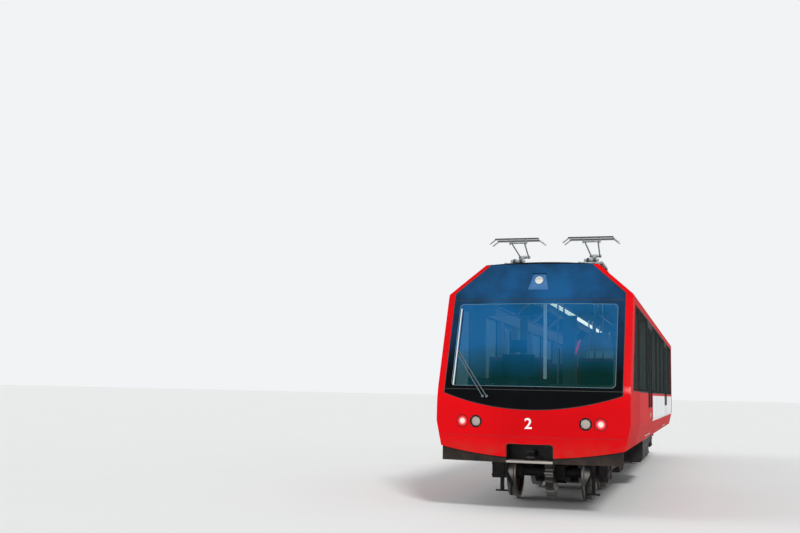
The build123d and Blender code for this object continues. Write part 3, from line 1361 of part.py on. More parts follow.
for name, side in SIDES.items():
    middle = side * COLLECTOR_X
    pivot = (middle, COLLECTOR_AFT, PIVOT_Z)
    knee = (middle, KNEE_AFT, KNEE_Z)
    head = (middle, COLLECTOR_AFT, HEAD_Z)

    with BuildPart() as lower_arm:
        rod(pivot, knee, ARM_RADIUS)
        rod((middle - BOSS_HALF, *pivot[1:]), (middle + BOSS_HALF, *pivot[1:]), BOSS_RADIUS)
        shaft = EAR_X + EAR_HALF
        rod((middle - shaft, *pivot[1:]), (middle + shaft, *pivot[1:]), SHAFT_RADIUS)
        rod((middle - KNEE_BOSS_HALF, *knee[1:]), (middle + KNEE_BOSS_HALF, *knee[1:]), BOSS_RADIUS)
        rod((middle - KNEE_SHAFT_HALF, *knee[1:]), (middle + KNEE_SHAFT_HALF, *knee[1:]), SHAFT_RADIUS)
    lower_arm.part.label = "lower_arm_" + name
    export_step(lower_arm.part, f"parts/lower_arm_{name}.step")

    with BuildPart() as upper_arm:
        for step in (-UPPER_X, UPPER_X):
            rod((middle + step, *knee[1:]), (middle + UPPER_SPREAD * step, *head[1:]), UPPER_RADIUS)
            rod(
                (middle + step - UPPER_BOSS[0], *knee[1:]), (middle + step + UPPER_BOSS[0], *knee[1:]),
                UPPER_BOSS[1],
            )
        rod((middle - HEAD_SHAFT_HALF, *head[1:]), (middle + HEAD_SHAFT_HALF, *head[1:]), HEAD_SHAFT_RADIUS)
        bore = KNEE_SHAFT_HALF + 10
        rod(
            (middle - bore, *knee[1:]), (middle + bore, *knee[1:]), SHAFT_RADIUS + RUNNING_GAP,
            mode=Mode.SUBTRACT,
        )
    upper_arm.part.label = "upper_arm_" + name
    export_step(upper_arm.part, f"parts/upper_arm_{name}.step")

    with BuildPart() as collector_head:
        strip_z = HEAD_Z + STRIP_RISE
        for strip_aft in (COLLECTOR_AFT - STRIP_AFT, COLLECTOR_AFT + STRIP_AFT):
            block(
                (middle - HEAD_HALF, strip_aft - STRIP_HALF[0], strip_z - STRIP_HALF[1]),
                (middle + HEAD_HALF, strip_aft + STRIP_HALF[0], strip_z + STRIP_HALF[1]),
            )
            for end in (-1, 1):
                root = (middle + end * (HEAD_HALF - STRIP_HALF[1]), strip_aft, strip_z)
                tip = (middle + end * (HEAD_HALF + HORN_REACH), strip_aft, strip_z - HORN_DROP)
                rod(root, tip, HORN_RADIUS)
        yoke_z = strip_z - YOKE_HALF
        for x in (middle - YOKE_X, middle + YOKE_X):
            block(
                (x - YOKE_HALF, COLLECTOR_AFT - STRIP_AFT, yoke_z - YOKE_DEPTH),
                (x + YOKE_HALF, COLLECTOR_AFT + STRIP_AFT, yoke_z),
            )
            block(
                (x - YOKE_HALF, COLLECTOR_AFT - LUG_HALF, HEAD_Z - LUG_HALF),
                (x + YOKE_HALF, COLLECTOR_AFT + LUG_HALF, yoke_z - 2),
            )
        bore = HEAD_SHAFT_HALF + 5
        rod(
            (middle - bore, *head[1:]), (middle + bore, *head[1:]), HEAD_SHAFT_RADIUS + RUNNING_GAP,
            mode=Mode.SUBTRACT,
        )
    collector_head.part.label = "collector_head_" + name
    export_step(collector_head.part, f"parts/collector_head_{name}.step")
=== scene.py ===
import math
from functools import partial
from itertools import product

import bmesh
import bpy
from bpy.props import FloatProperty, FloatVectorProperty, PointerProperty
from mathutils import Matrix, Vector


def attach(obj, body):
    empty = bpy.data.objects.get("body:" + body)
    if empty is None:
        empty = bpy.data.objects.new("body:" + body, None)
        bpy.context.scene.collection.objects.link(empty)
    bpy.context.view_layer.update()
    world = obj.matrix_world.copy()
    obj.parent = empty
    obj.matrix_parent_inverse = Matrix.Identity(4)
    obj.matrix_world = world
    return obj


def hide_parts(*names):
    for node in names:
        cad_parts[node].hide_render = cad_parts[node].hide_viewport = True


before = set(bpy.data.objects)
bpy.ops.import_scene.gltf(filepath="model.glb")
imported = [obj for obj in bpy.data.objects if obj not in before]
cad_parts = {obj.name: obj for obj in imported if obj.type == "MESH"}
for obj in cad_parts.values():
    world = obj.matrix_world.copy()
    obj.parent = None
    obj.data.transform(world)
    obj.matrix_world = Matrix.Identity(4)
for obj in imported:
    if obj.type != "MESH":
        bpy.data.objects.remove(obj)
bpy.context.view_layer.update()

bl_info = {
    "name": "Rack railway motor car",
    "version": (1, 0, 0),
    "blender": (4, 5, 0),
    "location": "View3D > Sidebar > Rack car",
    "description": "Finishes, fittings and studio stage of a metre-gauge rack railway motor car",
    "category": "Object",
}

# The car's own measures, in metres. "Aft" is measured back from the nose's tip.
NOSE_Y = -7.68
BODY_LENGTH = 15.0
CAB_LENGTH = 2.0
RING_AFT = 1.4
REAR_SHELL_AFT = 14.62
HALF_WIDTH = 1.25
SKIRT_HALF = 1.18
SKIRT_Z = 0.815
TUCK_Z = 1.13
CANT_Z = 2.85
ROOF_HALF = 0.775
ROOF_Z = 3.28
ROOF_CROWN = 0.03
CEILING_Z = 3.199
FLOOR_Z = 1.0
NOSE_RADIUS = 6.0
BREAK_RADIUS = 0.9
SCREEN_TILT = math.radians(22.7)
HEAD_TILT = math.radians(32)
BREAK_LOW_Z = 1.458 - BREAK_RADIUS * math.tan(SCREEN_TILT / 2)
BREAK_HIGH_Z = BREAK_LOW_Z + BREAK_RADIUS * math.sin(SCREEN_TILT)
HEAD_BREAK_Z = 2.79
FRAME_X = 1.155
MASK_CORNER_Z = 1.5
MASK_CENTRE_Z = 1.3
SHOULDER_Z = 2.862
SCREEN_Z = (1.5515, 2.7585)
GLASS_Z = (1.57, 2.74)
DOORS = ((4.05, 5.35), (10.45, 11.75))
DOOR_Z = (0.885, 2.725)
DOOR_WINDOW_Z = (1.32, 2.635)
DOOR_FRAME = 0.09
BUTTON_Z = 1.2
APRON_CENTRE_Z = 0.695
LAMP_Z = 1.14
LAMP_RADIUS = 0.0597
WHITE_LAMP_X = 0.703
RED_LAMP_X = 0.888
HEADLAMP_Z = 3.041
HEADLAMP_RADIUS = 0.055
HEADLAMP_FROM_Z = 2.5
WIPER_BLADE_X = -1.021
INSULATOR_Z = 3.4215
BELLOWS_Z = 0.645
AXLE_Z = 0.393
TREAD_RADIUS = 0.365
WHEELBASE = 2.0
BOGIES = {"front": (3.0, -1), "rear": (12.0, 1)}
AXLES = (2.0, 4.0, 11.0, 13.0)
PINION_AXLES = (1, 4)
COLLECTOR_AFT = 2.15
COLLECTOR_X = 0.55
COLLECTOR_HEAD_Z = 3.770134
SIDES = {"left": -1, "right": 1}


def aft(distance):
    """Y of a place that lies so far behind the tip of the nose."""
    return NOSE_Y + distance


def linear(code):
    """Linear colour, with alpha 1, of an sRGB hex value."""
    channels = [int(code[i : i + 2], 16) / 255 for i in (1, 3, 5)]
    return tuple(c / 12.92 if c <= 0.04045 else ((c + 0.055) / 1.055) ** 2.4 for c in channels) + (1.0,)


def scaled(colour, share, lift=0.0):
    """Colour made brighter or darker, with alpha 1."""
    return tuple(min(1.0, c * share + lift) for c in colour[:3]) + (1.0,)


def colour_setting(name, description, code):
    """A colour that the user may change."""
    return FloatVectorProperty(
        name=name, description=description, subtype="COLOR", size=4, min=0, max=1, default=linear(code),
    )


def length_setting(name, description, default):
    """A length that the user may change."""
    return FloatProperty(name=name, description=description, default=default, unit="LENGTH")


def angle_setting(name, description, degrees):
    """An angle that the user may change."""
    return FloatProperty(name=name, description=description, default=math.radians(degrees), subtype="ANGLE")


class PaintSettings(bpy.types.PropertyGroup):
    """Colours of the car's enamels and where its bands lie."""

    red: colour_setting("Red", "Main enamel of the body", "#D80A13")
    white: colour_setting("White", "Band along the side below the windows", "#EEF0F0")
    roof: colour_setting("Roof grey", "Enamel of the ribbed roof", "#B4B8BA")
    skirt: colour_setting("Skirt grey", "Enamel of the front skirt", "#1B1918")
    dust: colour_setting("Dust", "Brake and track dust on the lower body", "#6E5643")
    band_low: length_setting("Band from", "Lower edge of the white band", 1.08)
    band_high: length_setting("Band to", "Upper edge of the white band", 1.52)
    band_start: length_setting("Band start", "Where the band starts, behind the nose", 5.5)
    band_end: length_setting("Band end", "Where the band ends, behind the nose", 14.6)


class FittingSettings(bpy.types.PropertyGroup):
    """Sizes of the seals, fasteners and pipes."""

    seal: length_setting("Seal", "Radius of the rubber bead round the glass", 0.006)
    bolt: length_setting("Bolt", "Thread diameter of the running gear's bolts", 0.016)
    screw: length_setting("Screw", "Thread diameter of the body's screws", 0.006)
    pipe: length_setting("Pipe", "Radius of the brake pipes", 0.011)
    number_height: length_setting("Number", "Height of the number on the face", 0.135)


class StageSettings(bpy.types.PropertyGroup):
    """Floor, lamps and camera."""

    floor: colour_setting("Floor", "Colour of the studio floor", "#E6E6E4")
    backdrop: colour_setting("Backdrop", "Colour behind the car", "#F1F3F5")
    sun: FloatProperty(name="Sun", description="Strength of the main lamp", default=2.1)
    fill: FloatProperty(name="Fill", description="Strength of the light from all round", default=0.55)
    lens: FloatProperty(name="Lens", description="Focal length on a 36 mm sensor", default=45.72)
    place: FloatVectorProperty(
        name="Camera", description="Where the camera stands", subtype="TRANSLATION", unit="LENGTH",
        default=(2.18, -20.64, 1.498),
    )
    yaw: angle_setting("Yaw", "Turn of the camera to the left", 16.91)
    pitch: angle_setting("Pitch", "Tilt of the camera upwards", 7.01)
    roll: angle_setting("Roll", "Roll of the camera", -1.26)


def face_depth(z):
    """How far the face lies behind the nose's tip at a height, on the centre line."""
    if z <= BREAK_LOW_Z:
        return 0.0
    if z < BREAK_HIGH_Z:
        return BREAK_RADIUS - math.sqrt(BREAK_RADIUS**2 - (z - BREAK_LOW_Z) ** 2)
    start = BREAK_RADIUS * (1 - math.cos(SCREEN_TILT))
    depth = start + math.tan(SCREEN_TILT) * (min(z, HEAD_BREAK_Z) - BREAK_HIGH_Z)
    return depth + math.tan(HEAD_TILT) * max(0.0, z - HEAD_BREAK_Z)


def face_aft(x, z):
    """How far the face lies behind the nose's tip at a place in front view."""
    return NOSE_RADIUS - math.sqrt((NOSE_RADIUS - face_depth(z)) ** 2 - x * x)


def face_y(x, z):
    """Y of the car's face at a place in front view."""
    return aft(face_aft(x, z))


def face_point(x, z, proud=0.0):
    """Point that stands so far proud of the face."""
    step = 0.001
    lean_x = (face_y(x + step, z) - face_y(x - step, z)) / (2 * step)
    lean_z = (face_y(x, z + step) - face_y(x, z - step)) / (2 * step)
    return Vector((x, face_y(x, z), z)) + proud * Vector((lean_x, -1, lean_z)).normalized()


def side_x(z):
    """Half width of the body's outside at a height."""
    return SKIRT_HALF + (HALF_WIDTH - SKIRT_HALF) * (min(z, TUCK_Z) - SKIRT_Z) / (TUCK_Z - SKIRT_Z)


def ring(count, radius, first=0.0):
    """Places round a circle: how far across and how far up each one lies."""
    for i in range(count):
        angle = first + 2 * math.pi * i / count
        yield radius * math.cos(angle), radius * math.sin(angle)


def add_node(tree, kind, *inputs, **settings):
    """Adds a node, a shader node where its kind has no "Node". A Mix mixes colours.

    The inputs in use come in order, and a dict names others. Each is a value, a hex colour, a socket, a
    node whose first output in use is linked, or a list of nodes.
    """
    made = tree.nodes.new(kind if "Node" in kind else "ShaderNode" + kind)
    if kind == "Mix":
        settings["data_type"] = "RGBA"
    for name, value in settings.items():
        setattr(made, name, value)
    given = {}
    for key, value in zip([key for key, socket in enumerate(made.inputs) if socket.enabled], inputs):
        given.update(value if isinstance(value, dict) else {key: value})
    for key, value in given.items():
        for one in value if isinstance(value, list) else [value]:
            if isinstance(one, bpy.types.Node):
                one = next(output for output in one.outputs if output.enabled)
            if isinstance(one, bpy.types.NodeSocket):
                tree.links.new(one, made.inputs[key])
            else:
                made.inputs[key].default_value = linear(one) if str(one).startswith("#") else one
    return made


def finish(builder, *choices):
    """The material that a builder's shader makes, made only once for the same choices."""
    name = "_".join([builder.__name__, *(str(choice) for choice in choices)])
    material = bpy.data.materials.get(name)
    if material is None:
        material = bpy.data.materials.new(name)
        material.use_nodes = True
        material.node_tree.nodes.clear()
        add = partial(add_node, material.node_tree)
        add("OutputMaterial", builder(add, add("TexCoord").outputs["Object"], *choices))
    return material


def varied(add, place, size, low, high):
    """Number that drifts between two values in clouds of that size."""
    cloud = add("TexNoise", {"Vector": place, "Scale": 1 / size, "Detail": 4.0})
    return add("MapRange", cloud, 0.3, 0.7, low, high)


def mottled(add, place, size, first, second):
    """Colour that drifts between two in clouds of that size."""
    return add("Mix", varied(add, place, size, 0.0, 1.0), first, second)


def grain(add, place, size, height):
    """Normal of a surface with an even grain of that size and height, both in metres."""
    bumps = add("TexNoise", {"Vector": place, "Scale": 1 / size, "Detail": 2.0})
    return add("Bump", {"Height": bumps, "Distance": height})


def surface(add, place, colour, rough, bumps=None, more=()):
    """Shader of a solid surface.

    Colour and roughness drift where three values are given: the clouds' size and the two ends. Bumps are
    the size and the height of a grain.
    """
    inputs = {
        "Base Color": mottled(add, place, *colour) if isinstance(colour, tuple) else colour,
        "Roughness": varied(add, place, *rough) if isinstance(rough, tuple) else rough, **dict(more),
    }
    if bumps:
        inputs["Normal"] = grain(add, place, *bumps)
    return add("BsdfPrincipled", inputs)


def dusted(add, place, colour, high, low, amount):
    """Colour with dust on it, none above one height and most of it below the other, in uneven clouds."""
    height = add("SeparateXYZ", place).outputs["Z"]
    fall = add("MapRange", height, high, low, 0.0, amount, interpolation_type="SMOOTHSTEP")
    # clouds of dust about 150 mm wide
    cloud = add("TexNoise", {"Vector": place, "Scale": 1 / 0.15, "Detail": 6.0})
    factor = add("Math", fall, add("MapRange", cloud, 0.32, 0.68), operation="MULTIPLY")
    return add("Mix", factor, colour, tuple(bpy.context.scene.rack_car_paint.dust))


def between(add, place, axis, low, high):
    """1 between two places along an axis, else 0."""
    value = add("SeparateXYZ", place).outputs[axis]
    return add("Math", value, (low + high) / 2, (high - low) / 2, operation="COMPARE")


def past(add, place, axis, limit):
    """1 past a place along an axis, else 0."""
    return add("Math", add("SeparateXYZ", place).outputs[axis], limit, operation="GREATER_THAN")


def rounded_zone(add, place, half_across, low, high, radius):
    """1 inside an upright rectangle with rounded corners, centred across the car, else 0."""
    axes = add("SeparateXYZ", place).outputs
    rise = add("Math", axes["Z"], (low + high) / 2, operation="SUBTRACT")
    reach = []
    for distance, half in ((axes["X"], half_across), (rise, (high - low) / 2)):
        out = add("Math", add("Math", distance, operation="ABSOLUTE"), half - radius, operation="SUBTRACT")
        reach.append(add("Math", out, 0.0, operation="MAXIMUM"))
    far = add("VectorMath", add("CombineXYZ", *reach), operation="LENGTH").outputs["Value"]
    return add("Math", far, radius, operation="LESS_THAN")


def lined(add, place, colour):
    """The colour on the body's outside, and a pale wall lining on the faces that look into the car."""
    axes = add("SeparateXYZ", place).outputs
    out, z = add("Math", axes["X"], operation="ABSOLUTE"), axes["Z"]
    slope = Vector((ROOF_Z - CANT_Z, HALF_WIDTH - ROOF_HALF)).normalized()
    cant = add("Math", out, slope.x, -slope.dot((HALF_WIDTH, CANT_Z)), operation="MULTIPLY_ADD")
    lean = add(
        "Math", add("MapRange", z, BREAK_LOW_Z, HEAD_BREAK_Z, 0.0, face_depth(HEAD_BREAK_Z)),
        add("MapRange", z, HEAD_BREAK_Z, ROOF_Z, 0.0, (ROOF_Z - HEAD_BREAK_Z) * math.tan(HEAD_TILT)),
        operation="ADD",
    )
    square = add("Math", out, out, operation="MULTIPLY")
    bulge = add("Math", square, 0.5 / NOSE_RADIUS, NOSE_Y, operation="MULTIPLY_ADD")
    side = add("MapRange", z, SKIRT_Z, TUCK_Z, SKIRT_HALF, HALF_WIDTH)
    depth = add("Math", out, side, operation="SUBTRACT")
    for operation, *terms in (
        ("MULTIPLY_ADD", z, slope.y, cant), ("SUBTRACT", z, ROOF_Z),
        ("SUBTRACT", add("Math", lean, bulge, operation="ADD"), axes["Y"]),
        ("SUBTRACT", axes["Y"], aft(BODY_LENGTH)), ("SUBTRACT", FLOOR_Z - 0.05, z),
    ):
        depth = add("Math", depth, add("Math", *terms, operation=operation), operation="MAXIMUM")
    return add("Mix", add("Math", depth, -0.03, operation="LESS_THAN"), colour, "#C6CACA")


def red_enamel(add, place):
    # Two-part polyurethane enamel, sprayed and cleared: an even deep red under a soft gloss, with a
    # faint orange peel and brown dust low down. The crown over the face is blue-black like the glass.
    red = bpy.context.scene.rack_car_paint.red
    middle = between(add, place, "X", -0.2, 0.2)
    crown = add("Math", middle, past(add, place, "Z", CANT_Z), operation="MULTIPLY")
    crown = add("Math", crown, past(add, place, "Z", ROOF_Z - 0.004), operation="MAXIMUM")
    coloured = dusted(add, place, mottled(add, place, 0.9, scaled(red, 0.84), tuple(red)), 1.0, 0.66, 0.28)
    crowned = add("Mix", crown, coloured, "#10151C")
    crowned = add("Mix", past(add, place, "Y", aft(RING_AFT + 0.05)), crowned, coloured)
    return surface(add, place, lined(add, place, crowned), (0.3, 0.4, 0.55), (0.006, 0.00006), {
        "Specular IOR Level": 0.0, "Coat Weight": 0.09, "Coat Roughness": 0.12,
    })


def banded_enamel(add, place):
    # The same sprayed enamel in three colours, masked off: red, the white band below the windows, and
    # the black that joins the windows.
    paint = bpy.context.scene.rack_car_paint
    along = between(add, place, "Y", aft(paint.band_start), aft(paint.band_end))
    level = between(add, place, "Z", paint.band_low, paint.band_high)
    white = add("Math", along, level, operation="MULTIPLY")
    black = between(add, place, "Z", GLASS_Z[0] - 0.012, GLASS_Z[1] + 0.014)
    coloured = add("Mix", black, add("Mix", white, tuple(paint.red), tuple(paint.white)), "#0E1012")
    coloured = lined(add, place, dusted(add, place, coloured, 1.12, 0.7, 0.38))
    return surface(add, place, coloured, (0.3, 0.4, 0.55), (0.006, 0.00006), {
        "Specular IOR Level": 0.0, "Coat Weight": 0.12, "Coat Roughness": 0.12,
    })


def roof_enamel(add, place):
    # Semi-matt grey roof enamel, weathered: paler where the rain runs off, with soot streaks across it.
    streak = add("Mapping", {"Vector": place, "Scale": (0.6, 9.0, 0.6)})
    soot = add("TexNoise", {"Vector": streak, "Scale": 2.5, "Detail": 5.0})
    amount = add("MapRange", soot, 0.4, 0.75, 0.0, 0.5)
    colour = add("Mix", amount, tuple(bpy.context.scene.rack_car_paint.roof), "#6F6E6A")
    return surface(add, place, colour, (0.25, 0.5, 0.72), (0.004, 0.00008))


def grey_enamel(add, place):
    # Tough grey underbody enamel on the skirt: dull, chipped and dusted brown towards the track.
    skirt = bpy.context.scene.rack_car_paint.skirt
    colour = dusted(add, place, mottled(add, place, 0.2, tuple(skirt), scaled(skirt, 1.25)), 0.85, 0.6, 0.22)
    return surface(add, place, colour, (0.1, 0.48, 0.7), (0.003, 0.00012), {"Specular IOR Level": 0.15})


def ink(add, place):
    """Colour of the enamel behind the face's glass: black low down, deep blue towards the roof."""
    low = mottled(add, place, 0.4, "#020304", "#05080B")
    high = mottled(add, place, 0.6, "#12283C", "#17507F")
    return add("Mix", add("MapRange", add("SeparateXYZ", place).outputs["Z"], 1.8, 2.8), low, high)


# a dull clear gloss over what glass has printed on its back
PRINTED_GLOSS = {"Specular IOR Level": 0.0, "Coat Weight": 0.12, "Coat Roughness": 0.03}


def printed_glass(add, place):
    # Toughened glass, enamelled on its back: black below the windscreen and deep blue above it, with a
    # clean gloss and a thin film of dust.
    colour = dusted(add, place, ink(add, place), 1.7, 1.2, 0.01)
    return surface(add, place, colour, (0.2, 0.3, 0.4), more=PRINTED_GLOSS)


def clear_pane(add, tint, film, most, least=0.0):
    """Shader of a tinted pane: clear light through it, a reflective film outside, none from behind."""
    bend = add("Math", add("Fresnel", {"IOR": 1.5}), most, operation="MINIMUM")
    front = add("Math", 1.0, add("NewGeometry").outputs["Backfacing"], operation="SUBTRACT")
    strength = add("Math", add("Math", bend, least, operation="ADD"), front, operation="MULTIPLY")
    through = add("BsdfTransparent", {"Color": tint})
    return add("MixShader", strength, through, add("BsdfAnisotropic", {"Color": film, "Roughness": 0.01}))


def windscreen_glass(add, place):
    # Laminated float glass whose mirror film carries a painted reflection: blue sky at the top, fading to
    # green trees lower down, and stronger towards the top. A thin pale line of heating wire edges its clear
    # part, and a printed border hides its bonding.
    clear = rounded_zone(add, place, 1.06, 1.6, 2.7, 0.05)
    wire = add("Math", rounded_zone(add, place, 1.0645, 1.5955, 2.7045, 0.0525), clear, operation="SUBTRACT")
    border = surface(add, place, add("Mix", wire, ink(add, place), "#6D8995"), 0.3, more=PRINTED_GLOSS)
    # painted reflection: the height sets the film from green to blue and its strength from weak to strong, in
    # uneven clouds
    height = add("MapRange", add("SeparateXYZ", place).outputs["Z"], 1.7, 2.15)
    rise = add("Math", height, varied(add, place, 0.7, -0.22, 0.22), operation="ADD")
    film = add("Mix", rise, "#1F7A70", "#2FA6FF")
    pane = clear_pane(add, "#BCCACE", film, 0.1, add("MapRange", rise, 0.0, 1.0, 0.09, 0.26))
    return add("MixShader", clear, border, pane)


def saloon_glass(add, place):
    # Dark grey-green solar glass in single toughened panes: the seats behind it only just show.
    return clear_pane(add, "#A9B3B0", "#B8C8C8", 0.05)


def skylight_glass(add, place):
    # Very dark solar glass of the roof windows, with a film of dust that dulls it.
    film = add("BsdfDiffuse", {"Color": mottled(add, place, 0.12, "#2A2E30", "#4A4B48")})
    return add("MixShader", 0.16, clear_pane(add, "#5A6468", "#B8C8C8", 0.08), film)


def red_lamp_radius(add, place):
    """Distance from the axis of the nearer red lamp."""
    axes = add("SeparateXYZ", place).outputs
    across = add("Math", add("Math", axes["X"], operation="ABSOLUTE"), RED_LAMP_X, operation="SUBTRACT")
    rise = add("Math", axes["Z"], LAMP_Z, operation="SUBTRACT")
    return add("VectorMath", add("CombineXYZ", across, rise), operation="LENGTH").outputs["Value"]


def red_lamp_lens(add, place):
    # Moulded acrylic lens of a lit red lamp: pale pink in the middle, clear red in a ring at its rim.
    rim = add("MapRange", red_lamp_radius(add, place), 0.026, 0.046)
    tone = add("Mix", rim, "#FFDCD4", "#E8343C")
    body = surface(add, place, tone, 0.2, more={
        "Coat Weight": 0.3, "Emission Color": tone, "Emission Strength": 0.24,
    })
    return add("MixShader", 0.8, add("BsdfTransparent", {"Color": tone}), body)


def lamp_lens(add, place, tint):
    # Moulded polycarbonate lamp lens: clear, bright at its rim, and ribbed to spread the light. A wave of
    # scale 1 has ribs 314 mm apart, and these are 16 mm apart. Only the headlamp glows, a painted highlight
    # for the daylight that it reflects.
    wave = add("TexWave", {"Vector": place, "Scale": 19.895, "Distortion": 0.0}, bands_direction="X")
    ribbed = add("Bump", {"Height": wave.outputs["Fac"], "Distance": 0.0006})
    # the headlamp's emission is a painted highlight
    body = surface(add, place, tint, 0.08, more={
        "IOR": 1.58, "Normal": ribbed, "Emission Strength": 0.7,
        "Emission Color": add("Mix", past(add, place, "Z", HEADLAMP_FROM_Z), "#000000", "#D2EEF4"),
    })
    moulded = add("MixShader", 0.3, add("BsdfTransparent", {"Color": tint}), body)
    gloss = add("BsdfAnisotropic", {"Roughness": 0.03, "Normal": ribbed})
    return add("MixShader", add("Fresnel", {"IOR": 1.58, "Normal": ribbed}), moulded, gloss)


def lamp_cluster(add, place, colour):
    # Epoxy domes of the light-emitting diodes: water-clear, with a painted highlight in the headlamp only
    # that glows for the daylight it reflects, or red and lit.
    low, high, glow = {"white": ("#E9E4C8", "#F6F4E6", 2.0), "red": ("#FF9C9C", "#FFE4DE", 3.0)}[colour]
    tone = mottled(add, place, 0.01, low, high)
    # the white domes glow only in the headlamp, as a painted highlight
    lit = tone if colour == "red" else add("Mix", past(add, place, "Z", HEADLAMP_FROM_Z), "#000000", tone)
    return surface(add, place, tone, 0.12, more={
        "Coat Weight": 0.5, "Emission Color": lit, "Emission Strength": glow,
    })


def moulded_plastic(add, place, code):
    # Injection-moulded ABS with a fine leather grain of about 1 mm: dark, even and only softly glossy.
    colours = (0.08, code, scaled(linear(code), 1.35, 0.004))
    return surface(add, place, colours, (0.05, 0.38, 0.55), (0.0014, 0.00009))


def lamp_bezel_paint(add, place):
    # Painted pressed-steel rings: black round the white lamps, bright red with a black edge round the red.
    red = add("Math", red_lamp_radius(add, place), 0.0715, operation="LESS_THAN")
    colour = add("Mix", red, "#0B0C0E", "#E01C28")
    return surface(add, place, colour, (0.03, 0.3, 0.45), (0.002, 0.00004), {
        "Specular IOR Level": 0.1, "Coat Weight": 0.1,
    })


def rubber(add, place):
    # Extruded EPDM rubber: matt black, greyed by weather.
    return surface(add, place, (0.05, "#121314", "#1F2122"), (0.04, 0.55, 0.75), (0.0018, 0.00008))


def running_gear_paint(add, place):
    # Cast and welded steel under dark grey epoxy, with brown brake dust that settles unevenly and oil
    # that darkens it in patches. The dust lies in patches about 60 mm across.
    dust = add("TexNoise", {"Vector": place, "Scale": 1 / 0.06, "Detail": 8.0, "Roughness": 0.7})
    amount = add("MapRange", dust, 0.46, 0.72, 0.0, 0.6)
    colour = add("Mix", amount, mottled(add, place, 0.16, "#131415", "#242527"), "#4A3A2F")
    return surface(add, place, colour, (0.07, 0.5, 0.82), (0.0045, 0.0003), {"Specular IOR Level": 0.25})


def bogie_rubber_and_steel(add, place):
    # The suspension's parts by where they are: black bellows above the frame, rubber and steel layers
    # beside the axle boxes, and grey cast boxes.
    steel = mottled(add, place, 0.05, "#2B2C2E", "#564639")
    colour = add("Mix", past(add, place, "Z", BELLOWS_Z), steel, "#121213")
    return surface(add, place, colour, (0.05, 0.5, 0.78), (0.003, 0.0002))


def wheel_steel(add, place, axle_aft):
    # Rolled and turned wheel steel: bright where the tread runs on the rail, brown with thin rust and
    # brake dust on the web, dark oil at the hub.
    centred = add("Mapping", {"Vector": place, "Location": (0.0, -aft(axle_aft), -AXLE_Z)})
    flat = add("VectorMath", centred, (0.0, 1.0, 1.0), operation="MULTIPLY")
    far = add("VectorMath", flat, operation="LENGTH").outputs["Value"]
    bright = add("MapRange", far, TREAD_RADIUS - 0.016, TREAD_RADIUS - 0.006)
    web = mottled(add, place, 0.05, "#33281F", "#523F32")
    hub = add("Mix", add("MapRange", far, 0.13, 0.085), web, "#242322")
    rough = add("MapRange", bright, 0.0, 1.0, 0.68, 0.28)
    colour = add("Mix", bright, hub, "#8A8782")
    return surface(add, place, colour, rough, (0.003, 0.00012), {"Metallic": bright})


def pinion_steel(add, place):
    # Case-hardened gear steel, hobbed and greased: dark grey metal with brown-black grease in patches.
    grease = varied(add, place, 0.04, 0.0, 1.0)
    return surface(add, place, add("Mix", grease, "#7E7C78", "#2C2620"), (0.02, 0.28, 0.5), (0.002, 0.0001), {
        "Metallic": add("MapRange", grease, 0.0, 1.0, 1.0, 0.3),
    })


def galvanised_steel(add, place):
    # Hot-dip galvanised steel: pale zinc grey with its flowered spangle, drawn 25 mm across.
    spangle = add("TexVoronoi", {"Vector": place, "Scale": 1 / 0.025}).outputs["Color"]
    tone = add("SeparateXYZ", spangle).outputs["X"]
    rough = add("MapRange", tone, 0.0, 1.0, 0.34, 0.56)
    colour = add("Mix", tone, "#84898C", "#B1B6B8")
    return surface(add, place, colour, rough, (0.004, 0.00006), {"Metallic": 0.9})


def collector_base_finish(add, place):
    # Galvanised base frame on insulators of red-brown silicone, which start where the frame ends.
    metal = past(add, place, "Z", INSULATOR_Z)
    zinc = mottled(add, place, 0.025, "#84898C", "#B1B6B8")
    colour = add("Mix", metal, mottled(add, place, 0.03, "#5E2418", "#7A3324"), zinc)
    return surface(add, place, colour, (0.03, 0.32, 0.5), (0.004, 0.00006), {
        "Metallic": add("MapRange", metal, 0.0, 1.0, 0.0, 0.9),
    })


def collector_head_finish(add, place):
    # Drawn aluminium yoke and horns under strips of pressed carbon, matt black and worn grey on top.
    strip = past(add, place, "Z", COLLECTOR_HEAD_Z + 0.0375)
    colour = add("Mix", strip, "#A9ACAE", mottled(add, place, 0.04, "#1B1B1C", "#3A3A3B"))
    return surface(add, place, colour, (0.03, 0.35, 0.55), (0.002, 0.00005), {
        "Metallic": add("MapRange", strip, 0.0, 1.0, 0.95, 0.1),
    })


def brushed_stainless(add, place):
    # Stainless tube, brushed round: bright, with fine lines across it, drawn at 2 mm.
    stretched = add("Mapping", {"Vector": place, "Scale": (1.0, 1.0, 40.0)})
    lines = add("TexNoise", {"Vector": stretched, "Scale": 12.0, "Detail": 3.0})
    rough = add("MapRange", lines, 0.0, 1.0, 0.2, 0.42)
    return surface(add, place, (0.1, "#B9BCBD", "#CFD2D3"), rough, more={"Metallic": 1.0})


def plated_fastener(add, place):
    # Zinc-plated bolt heads, dulled by brake dust.
    return surface(add, place, (0.03, "#3C3A38", "#64625F"), (0.02, 0.35, 0.6), more={"Metallic": 0.7})


def satin_aluminium(add, place):
    # Anodised aluminium sections: even pale grey and satin.
    return surface(add, place, (0.1, "#B4B9BC", "#CDD2D4"), (0.05, 0.38, 0.5), more={"Metallic": 0.5})


def wiper_finish(add, place):
    # Wiper: bright aluminium blade carrier, and arms in dull dark grey paint.
    colour = add("Mix", past(add, place, "X", WIPER_BLADE_X), "#C9CED1", "#59656A")
    return surface(add, place, colour, 0.45, (0.003, 0.00003), {"Specular IOR Level": 0.3})


def pale_plate(add, place):
    # Folded aluminium plate, unpainted: dull, dusty brown-grey and scuffed along its length.
    scuff = add("Mapping", {"Vector": place, "Scale": (3.0, 40.0, 40.0)})
    colour = add("Mix", add("TexNoise", {"Vector": scuff, "Scale": 6.0, "Detail": 4.0}), "#8C857C", "#BDB8B0")
    return surface(add, place, colour, (0.05, 0.4, 0.6), more={"Metallic": 0.6})


